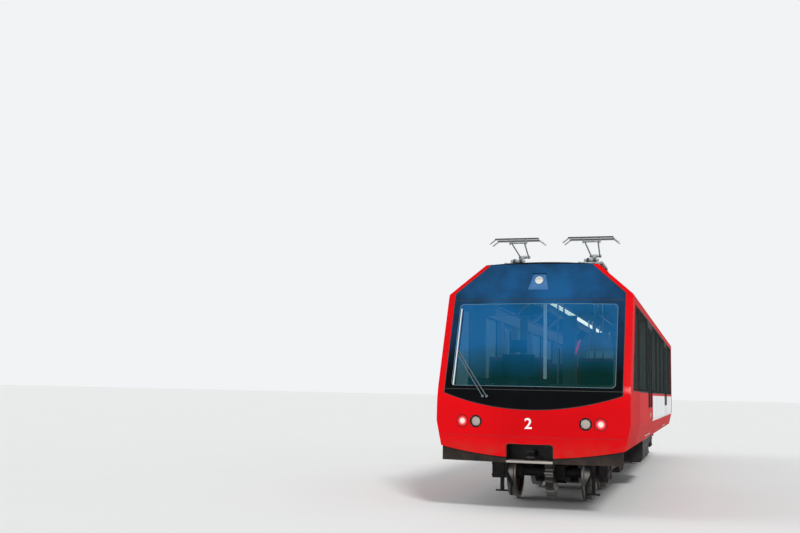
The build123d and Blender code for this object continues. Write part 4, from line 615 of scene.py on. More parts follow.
def studded_floor(add, place):
    # Rubber floor covering with round studs 28 mm apart, mid grey and worn smooth on top.
    studs = add("TexVoronoi", {"Vector": place, "Scale": 1 / 0.028, "Randomness": 0.0})
    top = add("MapRange", studs.outputs["Distance"], 0.42, 0.34)
    return surface(add, place, add("Mix", top, "#3C4146", "#565C61"), (0.3, 0.5, 0.75), more={
        "Normal": add("Bump", {"Height": top, "Distance": 0.001}),
    })


def laminate(add, place):
    # High-pressure laminate on the partition: light warm grey with a fine print and a satin face, with
    # one long fanlight of clear glass over its windows.
    fanlight = rounded_zone(add, place, 0.86, 2.652, 3.15, 0.02)
    board = surface(add, place, (0.004, "#BDBBB4", "#CDCBC5"), (0.2, 0.35, 0.5), (0.001, 0.00003))
    return add("MixShader", fanlight, board, add("BsdfTransparent", {"Color": "#E8EEEC"}))


def bright_powder_coat(add, place, low, high, glow):
    # Smooth powder coat with a painted glow: its emission stands in for daylight falling on it, so that it
    # stays bright in the shade of the cab.
    tone = mottled(add, place, 0.05, low, high)
    return surface(add, place, tone, 0.4, more={"Emission Color": tone, "Emission Strength": glow})


def woven_moquette(add, place):
    # Short-pile wool moquette: blue-grey with a woven fleck 6 mm across and no sheen.
    fleck = add("TexVoronoi", {"Vector": place, "Scale": 1 / 0.006}).outputs["Color"]
    colour = add("Mix", add("SeparateXYZ", fleck).outputs["X"], "#2E4257", "#556C84")
    return surface(add, place, colour, 0.95, (0.002, 0.0004), {"Specular IOR Level": 0.2})


def opal_strip(add, place):
    # Opal acrylic light strip, lit: warm white and soft, a little darker between its lamps.
    glow = mottled(add, place, 0.2, "#F8DFC6", "#FFEBD8")
    return surface(add, place, glow, 0.4, more={"Emission Color": glow, "Emission Strength": 4.0})


def plain_vinyl(add, place):
    # Cut white vinyl film, faintly uneven where it follows the paint.
    return surface(add, place, (0.04, "#ECEDEC", "#F8F9F8"), 0.3, (0.004, 0.00003), {"Coat Weight": 0.3})


def lamp_reflector(add, place):
    # Vacuum-metallised bowl: a bright mirror, broken up by its facets.
    return surface(
        add, place, (0.01, "#D5D8DA", "#F0F2F3"), (0.01, 0.08, 0.22), (0.008, 0.0006), {"Metallic": 1.0},
    )


def studio_paint(add, place):
    # Matt seamless floor: pale and even, with the grain of rolled-on paint.
    floor = bpy.context.scene.rack_car_stage.floor
    return surface(add, place, (2.0, scaled(floor, 0.985), tuple(floor)), 0.8)


def dress(material, *nodes):
    """Gives CAD nodes one finish, through the material slots that they came with."""
    for node in nodes:
        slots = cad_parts[node].material_slots
        if not slots:
            raise RuntimeError(f"CAD node {node} has no material slot")
        for slot in slots:
            slot.material = material


def keep_piece(name, mesh, material, body, turn=None):
    """Makes a finished mesh a piece that rides on a body."""
    mesh.materials.clear()
    mesh.materials.append(material)
    if turn is not None:
        mesh.shade_smooth()
        mesh.set_sharp_from_angle(angle=math.radians(turn))
    made = bpy.data.objects.new(name, mesh)
    bpy.context.scene.collection.objects.link(made)
    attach(made, body)
    return made


def close_form(name, form, material, body="car_body", turn=35):
    """Turns a finished bmesh into a piece, with its faces outwards."""
    bmesh.ops.remove_doubles(form, verts=form.verts, dist=1e-6)
    bmesh.ops.recalc_face_normals(form, faces=form.faces)
    mesh = bpy.data.meshes.new(name)
    form.to_mesh(mesh)
    form.free()
    return keep_piece(name, mesh, material, body, turn)


def add_block(form, low, high, round_by=0.0, turn=None):
    """Adds a box between two corners, its edges rounded, turned by a matrix about its middle."""
    ends = [sorted(pair) for pair in zip(low, high)]
    low, high = (Vector(corner) for corner in zip(*ends))
    made = bmesh.ops.create_cube(form, size=1.0, matrix=Matrix.Diagonal((*(high - low), 1.0)))["verts"]
    if round_by:
        edges = list({edge for vertex in made for edge in vertex.link_edges})
        made = bmesh.ops.bevel(
            form, geom=made + edges, offset=round_by, segments=2, profile=0.5, affect="EDGES",
        )["verts"]
    shift = Matrix.Translation((low + high) / 2) @ (turn.to_4x4() if turn else Matrix.Identity(4))
    bmesh.ops.transform(form, matrix=shift, verts=made)


def add_turned(form, profile, origin, axis, sides=24):
    """Adds a turned solid: (radius, height) points along an axis from an origin, closed at both ends."""
    turn = Vector((0, 0, 1)).rotation_difference(Vector(axis)).to_matrix()
    rings = []
    for radius, height in profile:
        spots = ring(sides, radius) if radius else [(0, 0)]
        rings.append([form.verts.new(turn @ Vector((*spot, height)) + Vector(origin)) for spot in spots])
    for first, second in zip(rings, rings[1:]):
        for i in range(sides):
            corners = [first[i % len(first)], first[(i + 1) % len(first)],
                       second[(i + 1) % len(second)], second[i % len(second)]]
            unique = list(dict.fromkeys(corners))
            if len(unique) > 2:
                form.faces.new(unique)
    for end in (rings[0], rings[-1]):
        if len(end) > 2:
            form.faces.new(end)


def add_bar(form, start, end, radius, sides=16):
    """Adds a round bar from one point to another."""
    along = Vector(end) - Vector(start)
    add_turned(form, ((radius, 0), (radius, along.length)), start, along.normalized(), sides)


def at_points(add, start, form):
    """Sets a form at every point, with its Z along the point's "facing"."""
    facing = add("GeometryNodeInputNamedAttribute", {"Name": "facing"}, data_type="FLOAT_VECTOR")
    turned = add("FunctionNodeAlignRotationToVector", {"Vector": facing}, axis="Z")
    return add("GeometryNodeInstanceOnPoints", {
        "Points": start["Geometry"], "Instance": form, "Rotation": turned,
    })


def round_wire(add, line, sides, radius):
    """Runs a round section along a curve."""
    section = add("GeometryNodeCurvePrimitiveCircle", {"Resolution": sides, "Radius": radius}, mode="RADIUS")
    swept = add("GeometryNodeCurveToMesh", {"Curve": line, "Profile Curve": section, "Fill Caps": True})
    return add("GeometryNodeSetShadeSmooth", {"Geometry": swept})


def bolt_heads(add, start):
    """A hexagon head on a washer at every point, each turned at random."""
    parts = []
    for sides, *shares in ((6, 0.9, 0.62, 0.46), (12, 1.15, 0.3, 0.1)):
        sizes = [add("Math", start["Diameter"], share, operation="MULTIPLY") for share in shares]
        form = add("GeometryNodeMeshCylinder", {"Vertices": sides, "Radius": sizes[0], "Depth": sizes[1]})
        up = add("CombineXYZ", {"Z": sizes[2]})
        parts.append(add("GeometryNodeTransform", {"Geometry": form, "Translation": up}))
    placed = at_points(add, start, add("GeometryNodeJoinGeometry", {"Geometry": parts}))
    spin = add(
        "FunctionNodeRandomValue", {"Min": (0.0, 0.0, 0.0), "Max": (0.0, 0.0, 1.05), "Seed": start["Seed"]},
        data_type="FLOAT_VECTOR",
    )
    return add("GeometryNodeRotateInstances", {"Instances": placed, "Rotation": spin})


def round_beads(add, start):
    """A round section along every line of edges, with its bends rounded."""
    line = add("GeometryNodeMeshToCurve", {"Mesh": start["Geometry"]})
    bent = add(
        "GeometryNodeFilletCurve", {"Curve": line, "Radius": start["Bend"], "Count": 4, "Limit Radius": True},
        mode="POLY",
    )
    return round_wire(add, bent, start["Sides"], start["Radius"])


def wire_coils(add, start):
    """A wire coil at every point."""
    spiral = add("GeometryNodeCurveSpiral", {
        "Resolution": 14, "Rotations": start["Turns"], "Start Radius": start["Radius"],
        "End Radius": start["Radius"], "Height": start["Length"],
    })
    return at_points(add, start, round_wire(add, spiral, 6, start["Wire"]))


def new_tree(build, inputs):
    """A Geometry Nodes tree with named inputs, ending in Realize Instances and Set Material."""
    tree = bpy.data.node_groups.new(build.__name__, "GeometryNodeTree")
    for way in ("OUTPUT", "INPUT"):
        tree.interface.new_socket("Geometry", in_out=way, socket_type="NodeSocketGeometry")
    for label, value in inputs.items():
        kind = {float: "NodeSocketFloat", int: "NodeSocketInt"}.get(type(value), "NodeSocketMaterial")
        tree.interface.new_socket(label, in_out="INPUT", socket_type=kind).default_value = value
    add = partial(add_node, tree)
    start = add("NodeGroupInput").outputs
    real = add("GeometryNodeRealizeInstances", {"Geometry": build(add, start)})
    add("NodeGroupOutput", add("GeometryNodeSetMaterial", {"Geometry": real, "Material": start["Material"]}))
    return tree


def grow(name, base, build, inputs, material, body):
    """Runs a tree on a base mesh and keeps the result as one plain mesh that rides on a body."""
    inputs = {**inputs, "Material": material}
    tree = bpy.data.node_groups.get(build.__name__) or new_tree(build, inputs)
    source = bpy.data.objects.new(name + "_base", base)
    bpy.context.scene.collection.objects.link(source)
    modifier = source.modifiers.new("Build", "NODES")
    modifier.node_group = tree
    for item in tree.interface.items_tree:
        if item.item_type == "SOCKET" and item.name in inputs:
            modifier[item.identifier] = inputs[item.name]
    bpy.context.view_layer.update()
    mesh = bpy.data.meshes.new_from_object(source.evaluated_get(bpy.context.evaluated_depsgraph_get()))
    source.modifiers.clear()
    bpy.data.objects.remove(source)
    if not mesh.polygons:
        raise RuntimeError(f"{name} came out empty")
    mesh.name = name
    return keep_piece(name, mesh, material, body)


def set_points(name, places, build, inputs, material, body):
    """Grows a piece from (place, facing) points."""
    base = bpy.data.meshes.new(name + "_points")
    base.from_pydata([tuple(place) for place, _ in places], [], [])
    facing = base.attributes.new("facing", "FLOAT_VECTOR", "POINT")
    facing.data.foreach_set("vector", [value for _, way in places for value in way])
    return grow(name, base, build, inputs, material, body)


def bolts(name, places, diameter, body="car_body", material=None):
    """Bolt heads at (place, facing) points."""
    inputs = {"Diameter": diameter, "Seed": 3}
    return set_points(name, places, bolt_heads, inputs, material or finish(plated_fastener), body)


def beads(name, runs, radius, material, body="car_body", bend=0.0, sides=8):
    """Round beads or pipes along runs of points. A run that ends where it starts is closed."""
    points, edges = [], []
    for run in runs:
        first, closed = len(points), tuple(run[0]) == tuple(run[-1])
        points += [tuple(point) for point in (run[:-1] if closed else run)]
        count = len(points) - first
        edges += [(first + i, first + (i + 1) % count) for i in range(count if closed else count - 1)]
    base = bpy.data.meshes.new(name + "_lines")
    base.from_pydata(points, edges, [])
    inputs = {"Radius": radius, "Bend": bend, "Sides": sides}
    return grow(name, base, round_beads, inputs, material, body)


def face_run(points, proud):
    """Points along straight runs in front view, close enough together to follow the curved face."""
    run, step = [], 0.05
    for (x, z), (x2, z2) in zip(points, points[1:]):
        count = max(1, round(math.hypot(x2 - x, z2 - z) / step))
        run += [(x + (x2 - x) * i / count, z + (z2 - z) * i / count) for i in range(count)]
    return [face_point(*spot, proud) for spot in (*run, points[-1])]


def arc_z(x, corner_x, corner_z, centre_z):
    """Height of a shallow arc across the car, through its corners and its middle."""
    sag = corner_z - centre_z
    radius = (corner_x**2 + sag**2) / (2 * sag)
    return centre_z + radius - math.sqrt(radius**2 - x * x)


def mask_outline():
    """Outline of the dark face in front view, from its left top round its lower edge to its right top."""
    slope = (ROOF_Z - CANT_Z) / (HALF_WIDTH - ROOF_HALF)
    top_x = FRAME_X - (ROOF_Z - SHOULDER_Z) / slope
    xs = [FRAME_X * (i / 12 - 1) for i in range(25)]
    arc = [(x, arc_z(x, FRAME_X, MASK_CORNER_Z, MASK_CENTRE_Z)) for x in xs]
    return [(-top_x, ROOF_Z), (-FRAME_X, SHOULDER_Z), *arc, (FRAME_X, SHOULDER_Z), (top_x, ROOF_Z)]


def rectangle(start, end, low, high):
    """Corners of a rectangle, ending where they start."""
    return (start, low), (end, low), (end, high), (start, high), (start, low)


def saloon_panes():
    """Start and end, in distances aft, of every pane of the saloon side."""
    pillar, split = 0.06, 0.015
    for start, end, count in (
        (CAB_LENGTH + pillar / 2, DOORS[0][0] - pillar, 1), (DOORS[0][1] + pillar, DOORS[1][0] - pillar, 3),
        (DOORS[1][1] + pillar, REAR_SHELL_AFT - pillar / 2, 2),
    ):
        pitch = (end - start + split) / count
        for i in range(count):
            yield start + i * pitch, start + (i + 1) * pitch - split


def side_loop(side, start, end, low, high, round_by=0.02):
    """Closed run on the body side, round a rectangle with rounded corners."""
    points = []
    corners = rectangle(start + round_by, end - round_by, low + round_by, high - round_by)
    # from the corner that lies highest and furthest aft, each a quarter turn
    for corner, (middle_aft, middle_z) in enumerate((corners[2], corners[3], corners[0], corners[1])):
        for step in range(4):
            angle = math.radians(90 * corner + 30 * step)
            y = aft(middle_aft + round_by * math.cos(angle))
            points.append(Vector((side * (HALF_WIDTH - 0.002), y, middle_z + round_by * math.sin(angle))))
    return [*points, points[0]]


class RACK_CAR_OT_paint_body(bpy.types.Operator):
    """Finish the painted shell, the glass and the face's plastic parts"""

    bl_idname = "rack_car.paint_body"
    bl_label = "Paint body"

    def execute(self, context):
        dress(finish(red_enamel), "cab_shell", "apron", "rear_shell", "cant_rail_left", "cant_rail_right")
        dress(finish(banded_enamel), "side_wall_left", "side_wall_right", "doors_left", "doors_right")
        dress(finish(roof_enamel), "roof")
        dress(finish(grey_enamel), "front_skirt")
        dress(finish(printed_glass), "lower_mask", "head_panel")
        dress(finish(windscreen_glass), "windscreen")
        dress(finish(saloon_glass), "side_glass_left", "side_glass_right", "door_glass", "rear_glass")
        dress(finish(skylight_glass), "skylights")
        dress(finish(moulded_plastic, "#245A8A"), "headlamp_tray")
        dress(finish(moulded_plastic, "#0E0F11"), "coupler_pocket")
        dress(finish(wiper_finish), "wiper")
        dress(finish(lamp_bezel_paint), "lamp_bezels")
        return {"FINISHED"}


class RACK_CAR_OT_paint_running_gear(bpy.types.Operator):
    """Finish the bogies, wheels, pinions, underfloor cases and collectors"""

    bl_idname = "rack_car.paint_running_gear"
    bl_label = "Paint running gear"

    def execute(self, context):
        gear = finish(running_gear_paint)
        dress(gear, "underframe", "converter_box", "resistor_box", "battery_box", "air_tanks")
        dress(gear, "drawbar", "towing_jaw")
        for place in BOGIES:
            dress(gear, f"bogie_frame_{place}", f"drive_unit_{place}", f"brake_units_{place}")
            dress(finish(bogie_rubber_and_steel), f"suspension_{place}")
            dress(finish(pinion_steel), f"rack_pinion_{place}")
        for number, distance in enumerate(AXLES, 1):
            dress(finish(wheel_steel, distance), f"wheelset_{number}")
        dress(finish(collector_base_finish), "collector_base")
        for name in SIDES:
            dress(finish(galvanised_steel), f"lower_arm_{name}", f"upper_arm_{name}")
            dress(finish(collector_head_finish), f"collector_head_{name}")
        return {"FINISHED"}


class RACK_CAR_OT_paint_interior(bpy.types.Operator):
    """Finish the floor, seats, partition, poles, lights and desk"""

    bl_idname = "rack_car.paint_interior"
    bl_label = "Paint interior"

    def execute(self, context):
        dress(finish(studded_floor), "floor")
        dress(finish(moulded_plastic, "#8E1A20"), "seats")
        dress(finish(moulded_plastic, "#20242A"), "driver_seat", "driver_desk")
        dress(finish(laminate), "partition")
        dress(finish(brushed_stainless), "grab_poles")
        dress(finish(opal_strip), "ceiling_lights")
        return {"FINISHED"}


class RACK_CAR_OT_fit_seals(bpy.types.Operator):
    """Set rubber beads round the windscreen, face panels, windows, doors and skylights"""

    bl_idname = "rack_car.fit_seals"
    bl_label = "Fit seals"

    def execute(self, context):
        size = context.scene.rack_car_fittings.seal
        black = finish(rubber)
        face = [mask_outline(), *([(-FRAME_X, z), (FRAME_X, z)] for z in SCREEN_Z)]
        beads("face_seals", [face_run(run, -0.5 * size) for run in face], size, black)

        seam_z = 0.96
        seam = [face_point(side_x(seam_z) * (i / 20 - 1), seam_z, -0.0008) for i in range(41)]
        beads("apron_joint", [seam], 0.002, black)

        for name, side in SIDES.items():
            runs = [side_loop(side, start, end, *GLASS_Z) for start, end in saloon_panes()]
            # the cab's side window, whose front edge leans with the face
            low, high = GLASS_Z
            flank, rear = 0.44, CAB_LENGTH - 0.025
            front = [face_aft(HALF_WIDTH, z) + flank for z in GLASS_Z]
            outline = ((front[0], low), (rear, low), (rear, high), (front[1], high), (front[0], low))
            runs.append([(side * (HALF_WIDTH - 0.002), aft(y), z) for y, z in outline])
            beads(f"window_seals_{name}", runs, 0.8 * size, black)

            runs, jamb_gap, leaf_gap = [], 0.006, 0.004
            for start, end in DOORS:
                middle = (start + end) / 2
                for first, last in (
                    (start + jamb_gap, middle - leaf_gap), (middle + leaf_gap, end - jamb_gap),
                ):
                    leaf = first + DOOR_FRAME, last - DOOR_FRAME
                    runs.append(side_loop(side, *leaf, *DOOR_WINDOW_Z, round_by=0.03))
            for start, end in DOORS:
                for distance in (start + 0.003, (start + end) / 2, end - 0.003):
                    heights = (DOOR_Z[0], TUCK_Z, DOOR_Z[1])
                    runs.append([(side * (side_x(z) - 0.004), aft(distance), z) for z in heights])
                runs.append([(side * (HALF_WIDTH - 0.004), aft(y), DOOR_Z[1] + 0.003) for y in (start, end)])
            beads(f"door_seals_{name}", runs, 0.9 * size, black)

        runs = [
            [(x, aft(BODY_LENGTH - 0.002), z) for x, z in rectangle(*ends, *GLASS_Z)]
            for ends in ((-1.0, -0.15), (0.15, 1.0))
        ]
        beads("rear_window_seals", runs, size, black, bend=0.02)

        runs, count, post, reach = [], 7, 0.07, 0.215
        pitch = (REAR_SHELL_AFT - RING_AFT) / count
        half = (pitch - post) / 2
        rise = Vector((-(HALF_WIDTH - ROOF_HALF), 0, ROOF_Z - CANT_Z)).normalized()
        for side in SIDES.values():
            up = Vector((side * rise.x, 0, rise.z))
            middle = Vector((side * (HALF_WIDTH + ROOF_HALF) / 2, 0, (CANT_Z + ROOF_Z) / 2))
            for i in range(count):
                centre = middle + Vector((0, aft(RING_AFT + pitch * (i + 0.5)), 0))
                runs.append([
                    centre + Vector((0, along * half, 0)) + up * rising * reach
                    for along, rising in rectangle(-1, 1, -1, 1)
                ])
        beads("skylight_seals", runs, size, black, bend=0.02)
        return {"FINISHED"}


class RACK_CAR_OT_fit_number(bpy.types.Operator):
    """Cut the plain white 2 and lay it on the face"""

    bl_idname = "rack_car.fit_number"
    bl_label = "Fit number"

    def execute(self, context):
        curve = bpy.data.curves.new("number", "FONT")
        curve.body = "2"
        curve.offset = 0.012
        source = bpy.data.objects.new("number_base", curve)
        context.scene.collection.objects.link(source)
        context.view_layer.update()
        flat = bpy.data.meshes.new_from_object(source.evaluated_get(context.evaluated_depsgraph_get()))
        bpy.data.objects.remove(source)
        form = bmesh.new()
        form.from_mesh(flat)
        bmesh.ops.remove_doubles(form, verts=form.verts, dist=1e-4)
        lows, highs = ([end(vertex.co[k] for vertex in form.verts) for k in (0, 1)] for end in (min, max))
        scale = context.scene.rack_car_fittings.number_height / (highs[1] - lows[1])
        middle_x, middle_z, widen = -0.015, 1.13, 1.08
        # how far the film's outside and its back stand proud of the face
        outside, inside = 0.0012, 0.0002
        bmesh.ops.solidify(form, geom=list(form.faces), thickness=0.02)
        for vertex in form.verts:
            x = middle_x + (vertex.co.x - (lows[0] + highs[0]) / 2) * scale * widen
            z = middle_z + (vertex.co.y - (lows[1] + highs[1]) / 2) * scale
            vertex.co = face_point(x, z, outside if vertex.co.z > -1e-5 else inside)
        close_form("number", form, finish(plain_vinyl), turn=30)
        return {"FINISHED"}


class RACK_CAR_OT_fit_lamps(bpy.types.Operator):
    """Build each lamp's ribbed lens, bowl and cluster in place of its plain solid"""

    bl_idname = "rack_car.fit_lamps"
    bl_label = "Fit lamps"

    def execute(self, context):
        lamps = {
            "white": [(side * WHITE_LAMP_X, LAMP_Z, LAMP_RADIUS, 0.0) for side in SIDES.values()]
            + [(0.0, HEADLAMP_Z, HEADLAMP_RADIUS, HEAD_TILT)],
            "red": [(side * RED_LAMP_X, LAMP_Z, LAMP_RADIUS, 0.0) for side in SIDES.values()],
        }
        lenses = {"white": finish(lamp_lens, "#F0E8E0"), "red": finish(red_lamp_lens)}
        back = Vector((0, 1, 0))
        # a lens leaves this play in its bezel, and is this far proud, this thick and this much bowed
        play, proud, thick, bow = 0.0005, 0.002, 0.005, 0.006
        dome = [(k / 6, bow * (k / 6) ** 2) for k in range(7)]
        for colour, places in lamps.items():
            shell, bowl, cluster = bmesh.new(), bmesh.new(), bmesh.new()
            for x, z, radius, lean in places:
                depth, slant = face_y(x, z), 1 / math.cos(lean)
                parts = shell.verts, bowl.verts, cluster.verts
                before = [len(verts) for verts in parts]
                front = [((radius - play) * share, (proud + rise) * slant) for share, rise in dome]
                rear = [(reach, height + thick * slant) for reach, height in reversed(front)]
                add_turned(shell, (*front, *rear), (x, depth, z), back, sides=32)
                add_turned(bowl, (
                    (radius - 0.001, 0.0), (radius - 0.006, 0.012), (radius * 0.6, 0.028),
                    (radius * 0.25, 0.034), (0.0, 0.035), (0.0, 0.036), (radius * 0.25, 0.035),
                    (radius * 0.62, 0.029), (radius - 0.004, 0.0125), (radius - 0.0002, 0.0),
                ), (x, depth + 0.016 * slant, z), back, sides=32)
                for across, up in ((0.0, 0.0), *ring(6, radius * 0.45)):
                    add_turned(cluster, (
                        (0.0, 0.0), (0.006, 0.003), (0.009, 0.009), (0.0095, 0.024), (0.0, 0.024),
                    ), (x + across, depth + 0.05 * slant - 0.026, z + up), back, sides=12)
                # all three follow the slant of the face
                for verts, count in zip(parts, before):
                    verts.ensure_lookup_table()
                    for vertex in verts[count:]:
                        vertex.co.y += face_y(vertex.co.x, vertex.co.z) - depth
            glass = close_form(f"{colour}_lamp_lenses", shell, lenses[colour])
            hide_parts(f"{colour}_lamps")
            close_form(f"{colour}_lamp_bowls", bowl, finish(lamp_reflector))
            close_form(f"{colour}_lamp_clusters", cluster, finish(lamp_cluster, colour))

        screws = [
            (face_point(x + across, LAMP_Z + up, 0.003), (0, -1, 0))
            for x in (-RED_LAMP_X, -WHITE_LAMP_X, WHITE_LAMP_X, RED_LAMP_X)
            for across, up in ring(4, 0.07, math.pi / 4)
        ]
        bolts("bezel_screws", screws, context.scene.rack_car_fittings.screw)
        return {"FINISHED"}


class RACK_CAR_OT_fit_front_trim(bpy.types.Operator):
    """Fit the coupler opening's rim and pale lip, and the bolts of the skirt and apron"""

    bl_idname = "rack_car.fit_front_trim"
    bl_label = "Fit front trim"

    def execute(self, context):
        foot, top, half, corner = 0.705, 0.868, 0.3, 0.04
        outline = [(-half, foot), (-half, top - corner)]
        for degrees in (162, 144, 126, 108, 90):
            angle = math.radians(degrees)
            x, z = corner * (1 + math.cos(angle)) - half, corner * (math.sin(angle) - 1) + top
            outline.append((x, z))
        outline += [(-x, z) for x, z in reversed(outline)]
        run = [face_point(x, z, 0.001) for x, z in outline]
        beads("opening_rim", [run], 0.0035, finish(rubber), sides=10)

        # a plate under the opening, with its front edge turned down
        form, reach, lip_z = bmesh.new(), 0.296, 0.6602
        add_block(form, (-reach, aft(0.014), lip_z - 0.003), (reach, aft(0.4), lip_z), 0.001)
        add_block(form, (-reach, aft(0.004), 0.632), (reach, aft(0.0115), lip_z), 0.002)
        close_form("lip_plate", form, finish(pale_plate))

        row_z = 0.672
        places = [
            ((x, face_y(x, row_z) + 0.015, row_z), (0, -1, 0))
            for x in (-1.08, -0.9, -0.72, -0.54, -0.38, 0.38, 0.54, 0.72, 0.9, 1.08)
        ]
        bolts("skirt_bolts", places, 0.012, material=finish(running_gear_paint))
        # a row of screws follows the apron's curved lower edge
        lift = 0.03
        places = [
            (face_point(x, arc_z(x, SKIRT_HALF, SKIRT_Z, APRON_CENTRE_Z) + lift), (0, -1, 0))
            for x in (-1.08, -0.8, -0.5, 0.5, 0.8, 1.08)
        ]
        screw = context.scene.rack_car_fittings.screw
        bolts("apron_screws", places, screw, material=finish(red_enamel))
        return {"FINISHED"}


class RACK_CAR_OT_fit_door_fittings(bpy.types.Operator):
    """Fit the door buttons, with their rings, on each side"""

    bl_idname = "rack_car.fit_door_fittings"
    bl_label = "Fit door fittings"

    def execute(self, context):
        for name, side in SIDES.items():
            rings, caps = bmesh.new(), bmesh.new()
            for start, end in DOORS:
                for shift in (-0.045, 0.045):
                    where = side * (HALF_WIDTH - 0.004), aft((start + end) / 2 + shift), BUTTON_Z
                    add_turned(rings, (
                        (0.0, 0.0), (0.034, 0.0), (0.034, 0.007), (0.031, 0.0095), (0.027, 0.0095),
                        (0.025, 0.006), (0.0, 0.006),
                    ), where, (side, 0, 0), sides=28)
                    add_turned(caps, (
                        (0.0, 0.004), (0.0235, 0.004), (0.0235, 0.009), (0.02, 0.0105), (0.0, 0.011),
                    ), where, (side, 0, 0))
            close_form(f"button_rings_{name}", rings, finish(brushed_stainless))
            close_form(f"button_caps_{name}", caps, finish(moulded_plastic, "#2E8B57"))
        return {"FINISHED"}


class RACK_CAR_OT_fit_sides(bpy.types.Operator):
    """Draw the panel joints below the windows, and fit the door sills and the body side's hatches"""

    bl_idname = "rack_car.fit_sides"
    bl_label = "Fit sides"

    def execute(self, context):
        hatch_z, sill_z, sunk, inset = (0.86, 1.06), (0.868, 0.88), 0.0006, 0.025
        for name, side in SIDES.items():
            joints, screws = [], []
            for distance in (2.6, 7.0, 8.7, 12.9):
                heights = (SKIRT_Z + 0.002, TUCK_Z, GLASS_Z[0] - 0.016)
                joints.append([(side * (side_x(z) - sunk), aft(distance), z) for z in heights])
            for start, end in ((2.95, 3.45), (6.0, 6.4), (9.2, 9.8), (13.5, 14.1)):
                outline = rectangle(start, end, *hatch_z)
                joints.append([(side * (side_x(z) - sunk), aft(y), z) for y, z in outline])
                for y, z in product((start + inset, end - inset), (hatch_z[0] + inset, hatch_z[1] - inset)):
                    screws.append(((side * side_x(z), aft(y), z), (side, 0, -0.22)))
            beads(f"panel_joints_{name}", joints, 0.0016, finish(rubber), sides=6)
            bolts(f"hatch_screws_{name}", screws, context.scene.rack_car_fittings.screw)
            sills, out = bmesh.new(), side_x(0.872)
            for start, end in DOORS:
                low = side * (out - 0.03), aft(start + 0.02), sill_z[0]
                add_block(sills, low, (side * (out + 0.006), aft(end - 0.02), sill_z[1]), 0.002)
            close_form(f"door_sills_{name}", sills, finish(satin_aluminium))
        return {"FINISHED"}


class RACK_CAR_OT_fit_roof(bpy.types.Operator):
    """Set the roof's screws, and the collectors' coils and bolts"""

    bl_idname = "rack_car.fit_roof"
    bl_label = "Fit roof fittings"

    def execute(self, context):
        up, pitch, edge = (0, 0, 1), 0.24, 0.735
        z = ROOF_Z + ROOF_CROWN * (1 - (edge / ROOF_HALF) ** 2)
        places = [
            ((x, aft(RING_AFT + 0.12 + pitch * i), z), up)
            for i in range(int((REAR_SHELL_AFT - RING_AFT - 0.2) / pitch)) for x in (-edge, edge)
        ]
        bolts("roof_screws", places, 1.5 * context.scene.rack_car_fittings.screw)

        # each collector's base stands on four insulators, bolted at their feet and on their caps
        places, half, foot_z, cap_z = [], 0.038, ROOF_Z + 0.042, ROOF_Z + 0.172
        for x in [side * COLLECTOR_X + step * 0.16 for side in SIDES.values() for step in (-1, 1)]:
            for distance in (COLLECTOR_AFT - 0.09, COLLECTOR_AFT + 0.54):
                for dx, dy in product((-half, half), repeat=2):
                    places.append(((x + dx, aft(distance) + dy, foot_z), up))
                places.append(((x, aft(distance), cap_z), up))
        bolts("collector_bolts", places, 0.01)

        for name, side in SIDES.items():
            shaft = side * COLLECTOR_X, aft(COLLECTOR_AFT), 3.49
            places = [(Vector(shaft) + Vector((start, 0, 0)), (1, 0, 0)) for start in (-0.068, 0.03)]
            inputs = {"Radius": 0.034, "Length": 0.038, "Turns": 5.0, "Wire": 0.003}
            set_points(
                f"raising_coils_{name}", places, wire_coils, inputs, finish(plated_fastener),
                f"lower_arm_{name}",
            )
        return {"FINISHED"}


class RACK_CAR_OT_fit_bogies(bpy.types.Operator):
    """Bolt the axle boxes and frames, and run the bogies' brake and sand pipes"""

    bl_idname = "rack_car.fit_bogies"
    bl_label = "Fit bogies"

    def execute(self, context):
        fittings = context.scene.rack_car_fittings
        cover_x, corner_x, guide_x, frame_z = 0.815, 0.8, 0.82, 0.56
        for place, (centre, outward) in BOGIES.items():
            places, pipes, sand = [], [], []
            for side in SIDES.values():
                out = (side, 0, 0)
                for end in (-1, 1):
                    axle = centre + end * WHEELBASE / 2
                    # the axle box's cover and corners, the guides' feet, and the frame over them
                    for dy, dz in ring(6, 0.06, math.pi / 6):
                        places.append(((side * cover_x, aft(axle) + dy, AXLE_Z + dz), out))
                    for dy, dz in product((-0.085, 0.085), repeat=2):
                        places.append(((side * corner_x, aft(axle) + dy, AXLE_Z + dz), out))
                    for leg, z in product((-0.265, 0.265), (0.34, 0.5)):
                        places.append(((side * guide_x, aft(axle + leg), z), out))
                    for step in (-0.1, 0.0, 0.1):
                        places.append(((side * guide_x, aft(centre + end * (0.55 + step)), frame_z), out))
                # the air spring's base
                for dx, dy in ring(6, 0.158):
                    places.append(((side * 0.76 + dx, aft(centre) + dy, 0.64), (0, 0, 1)))
                half = ((1.4, 0.715, 0.705), (0.42, 0.715, 0.705), (0.3, 0.715, 0.62), (0.2, 0.69, 0.62))
                pipes.append([(side * x, aft(centre - along), z) for along, x, z in half]
                             + [(side * x, aft(centre + along), z) for along, x, z in reversed(half)])
                drop = ((1.4, 0.6, 0.62), (1.4, 0.6, 0.4), (1.36, 0.53, 0.22), (1.33, 0.53, 0.07))
                sand.append([(side * x, aft(centre + outward * along), z) for along, x, z in drop])
            body = f"bogie_{place}"
            bolts(f"bogie_bolts_{place}", places, fittings.bolt, body=body)
            for name, runs, radius, material, bend, sides in (
                ("brake_pipes", pipes, fittings.pipe, galvanised_steel, 0.05, 10),
                ("sand_pipes", sand, 0.016, rubber, 0.06, 12),
            ):
                beads(f"{name}_{place}", runs, radius, finish(material), body, bend, sides)
        return {"FINISHED"}


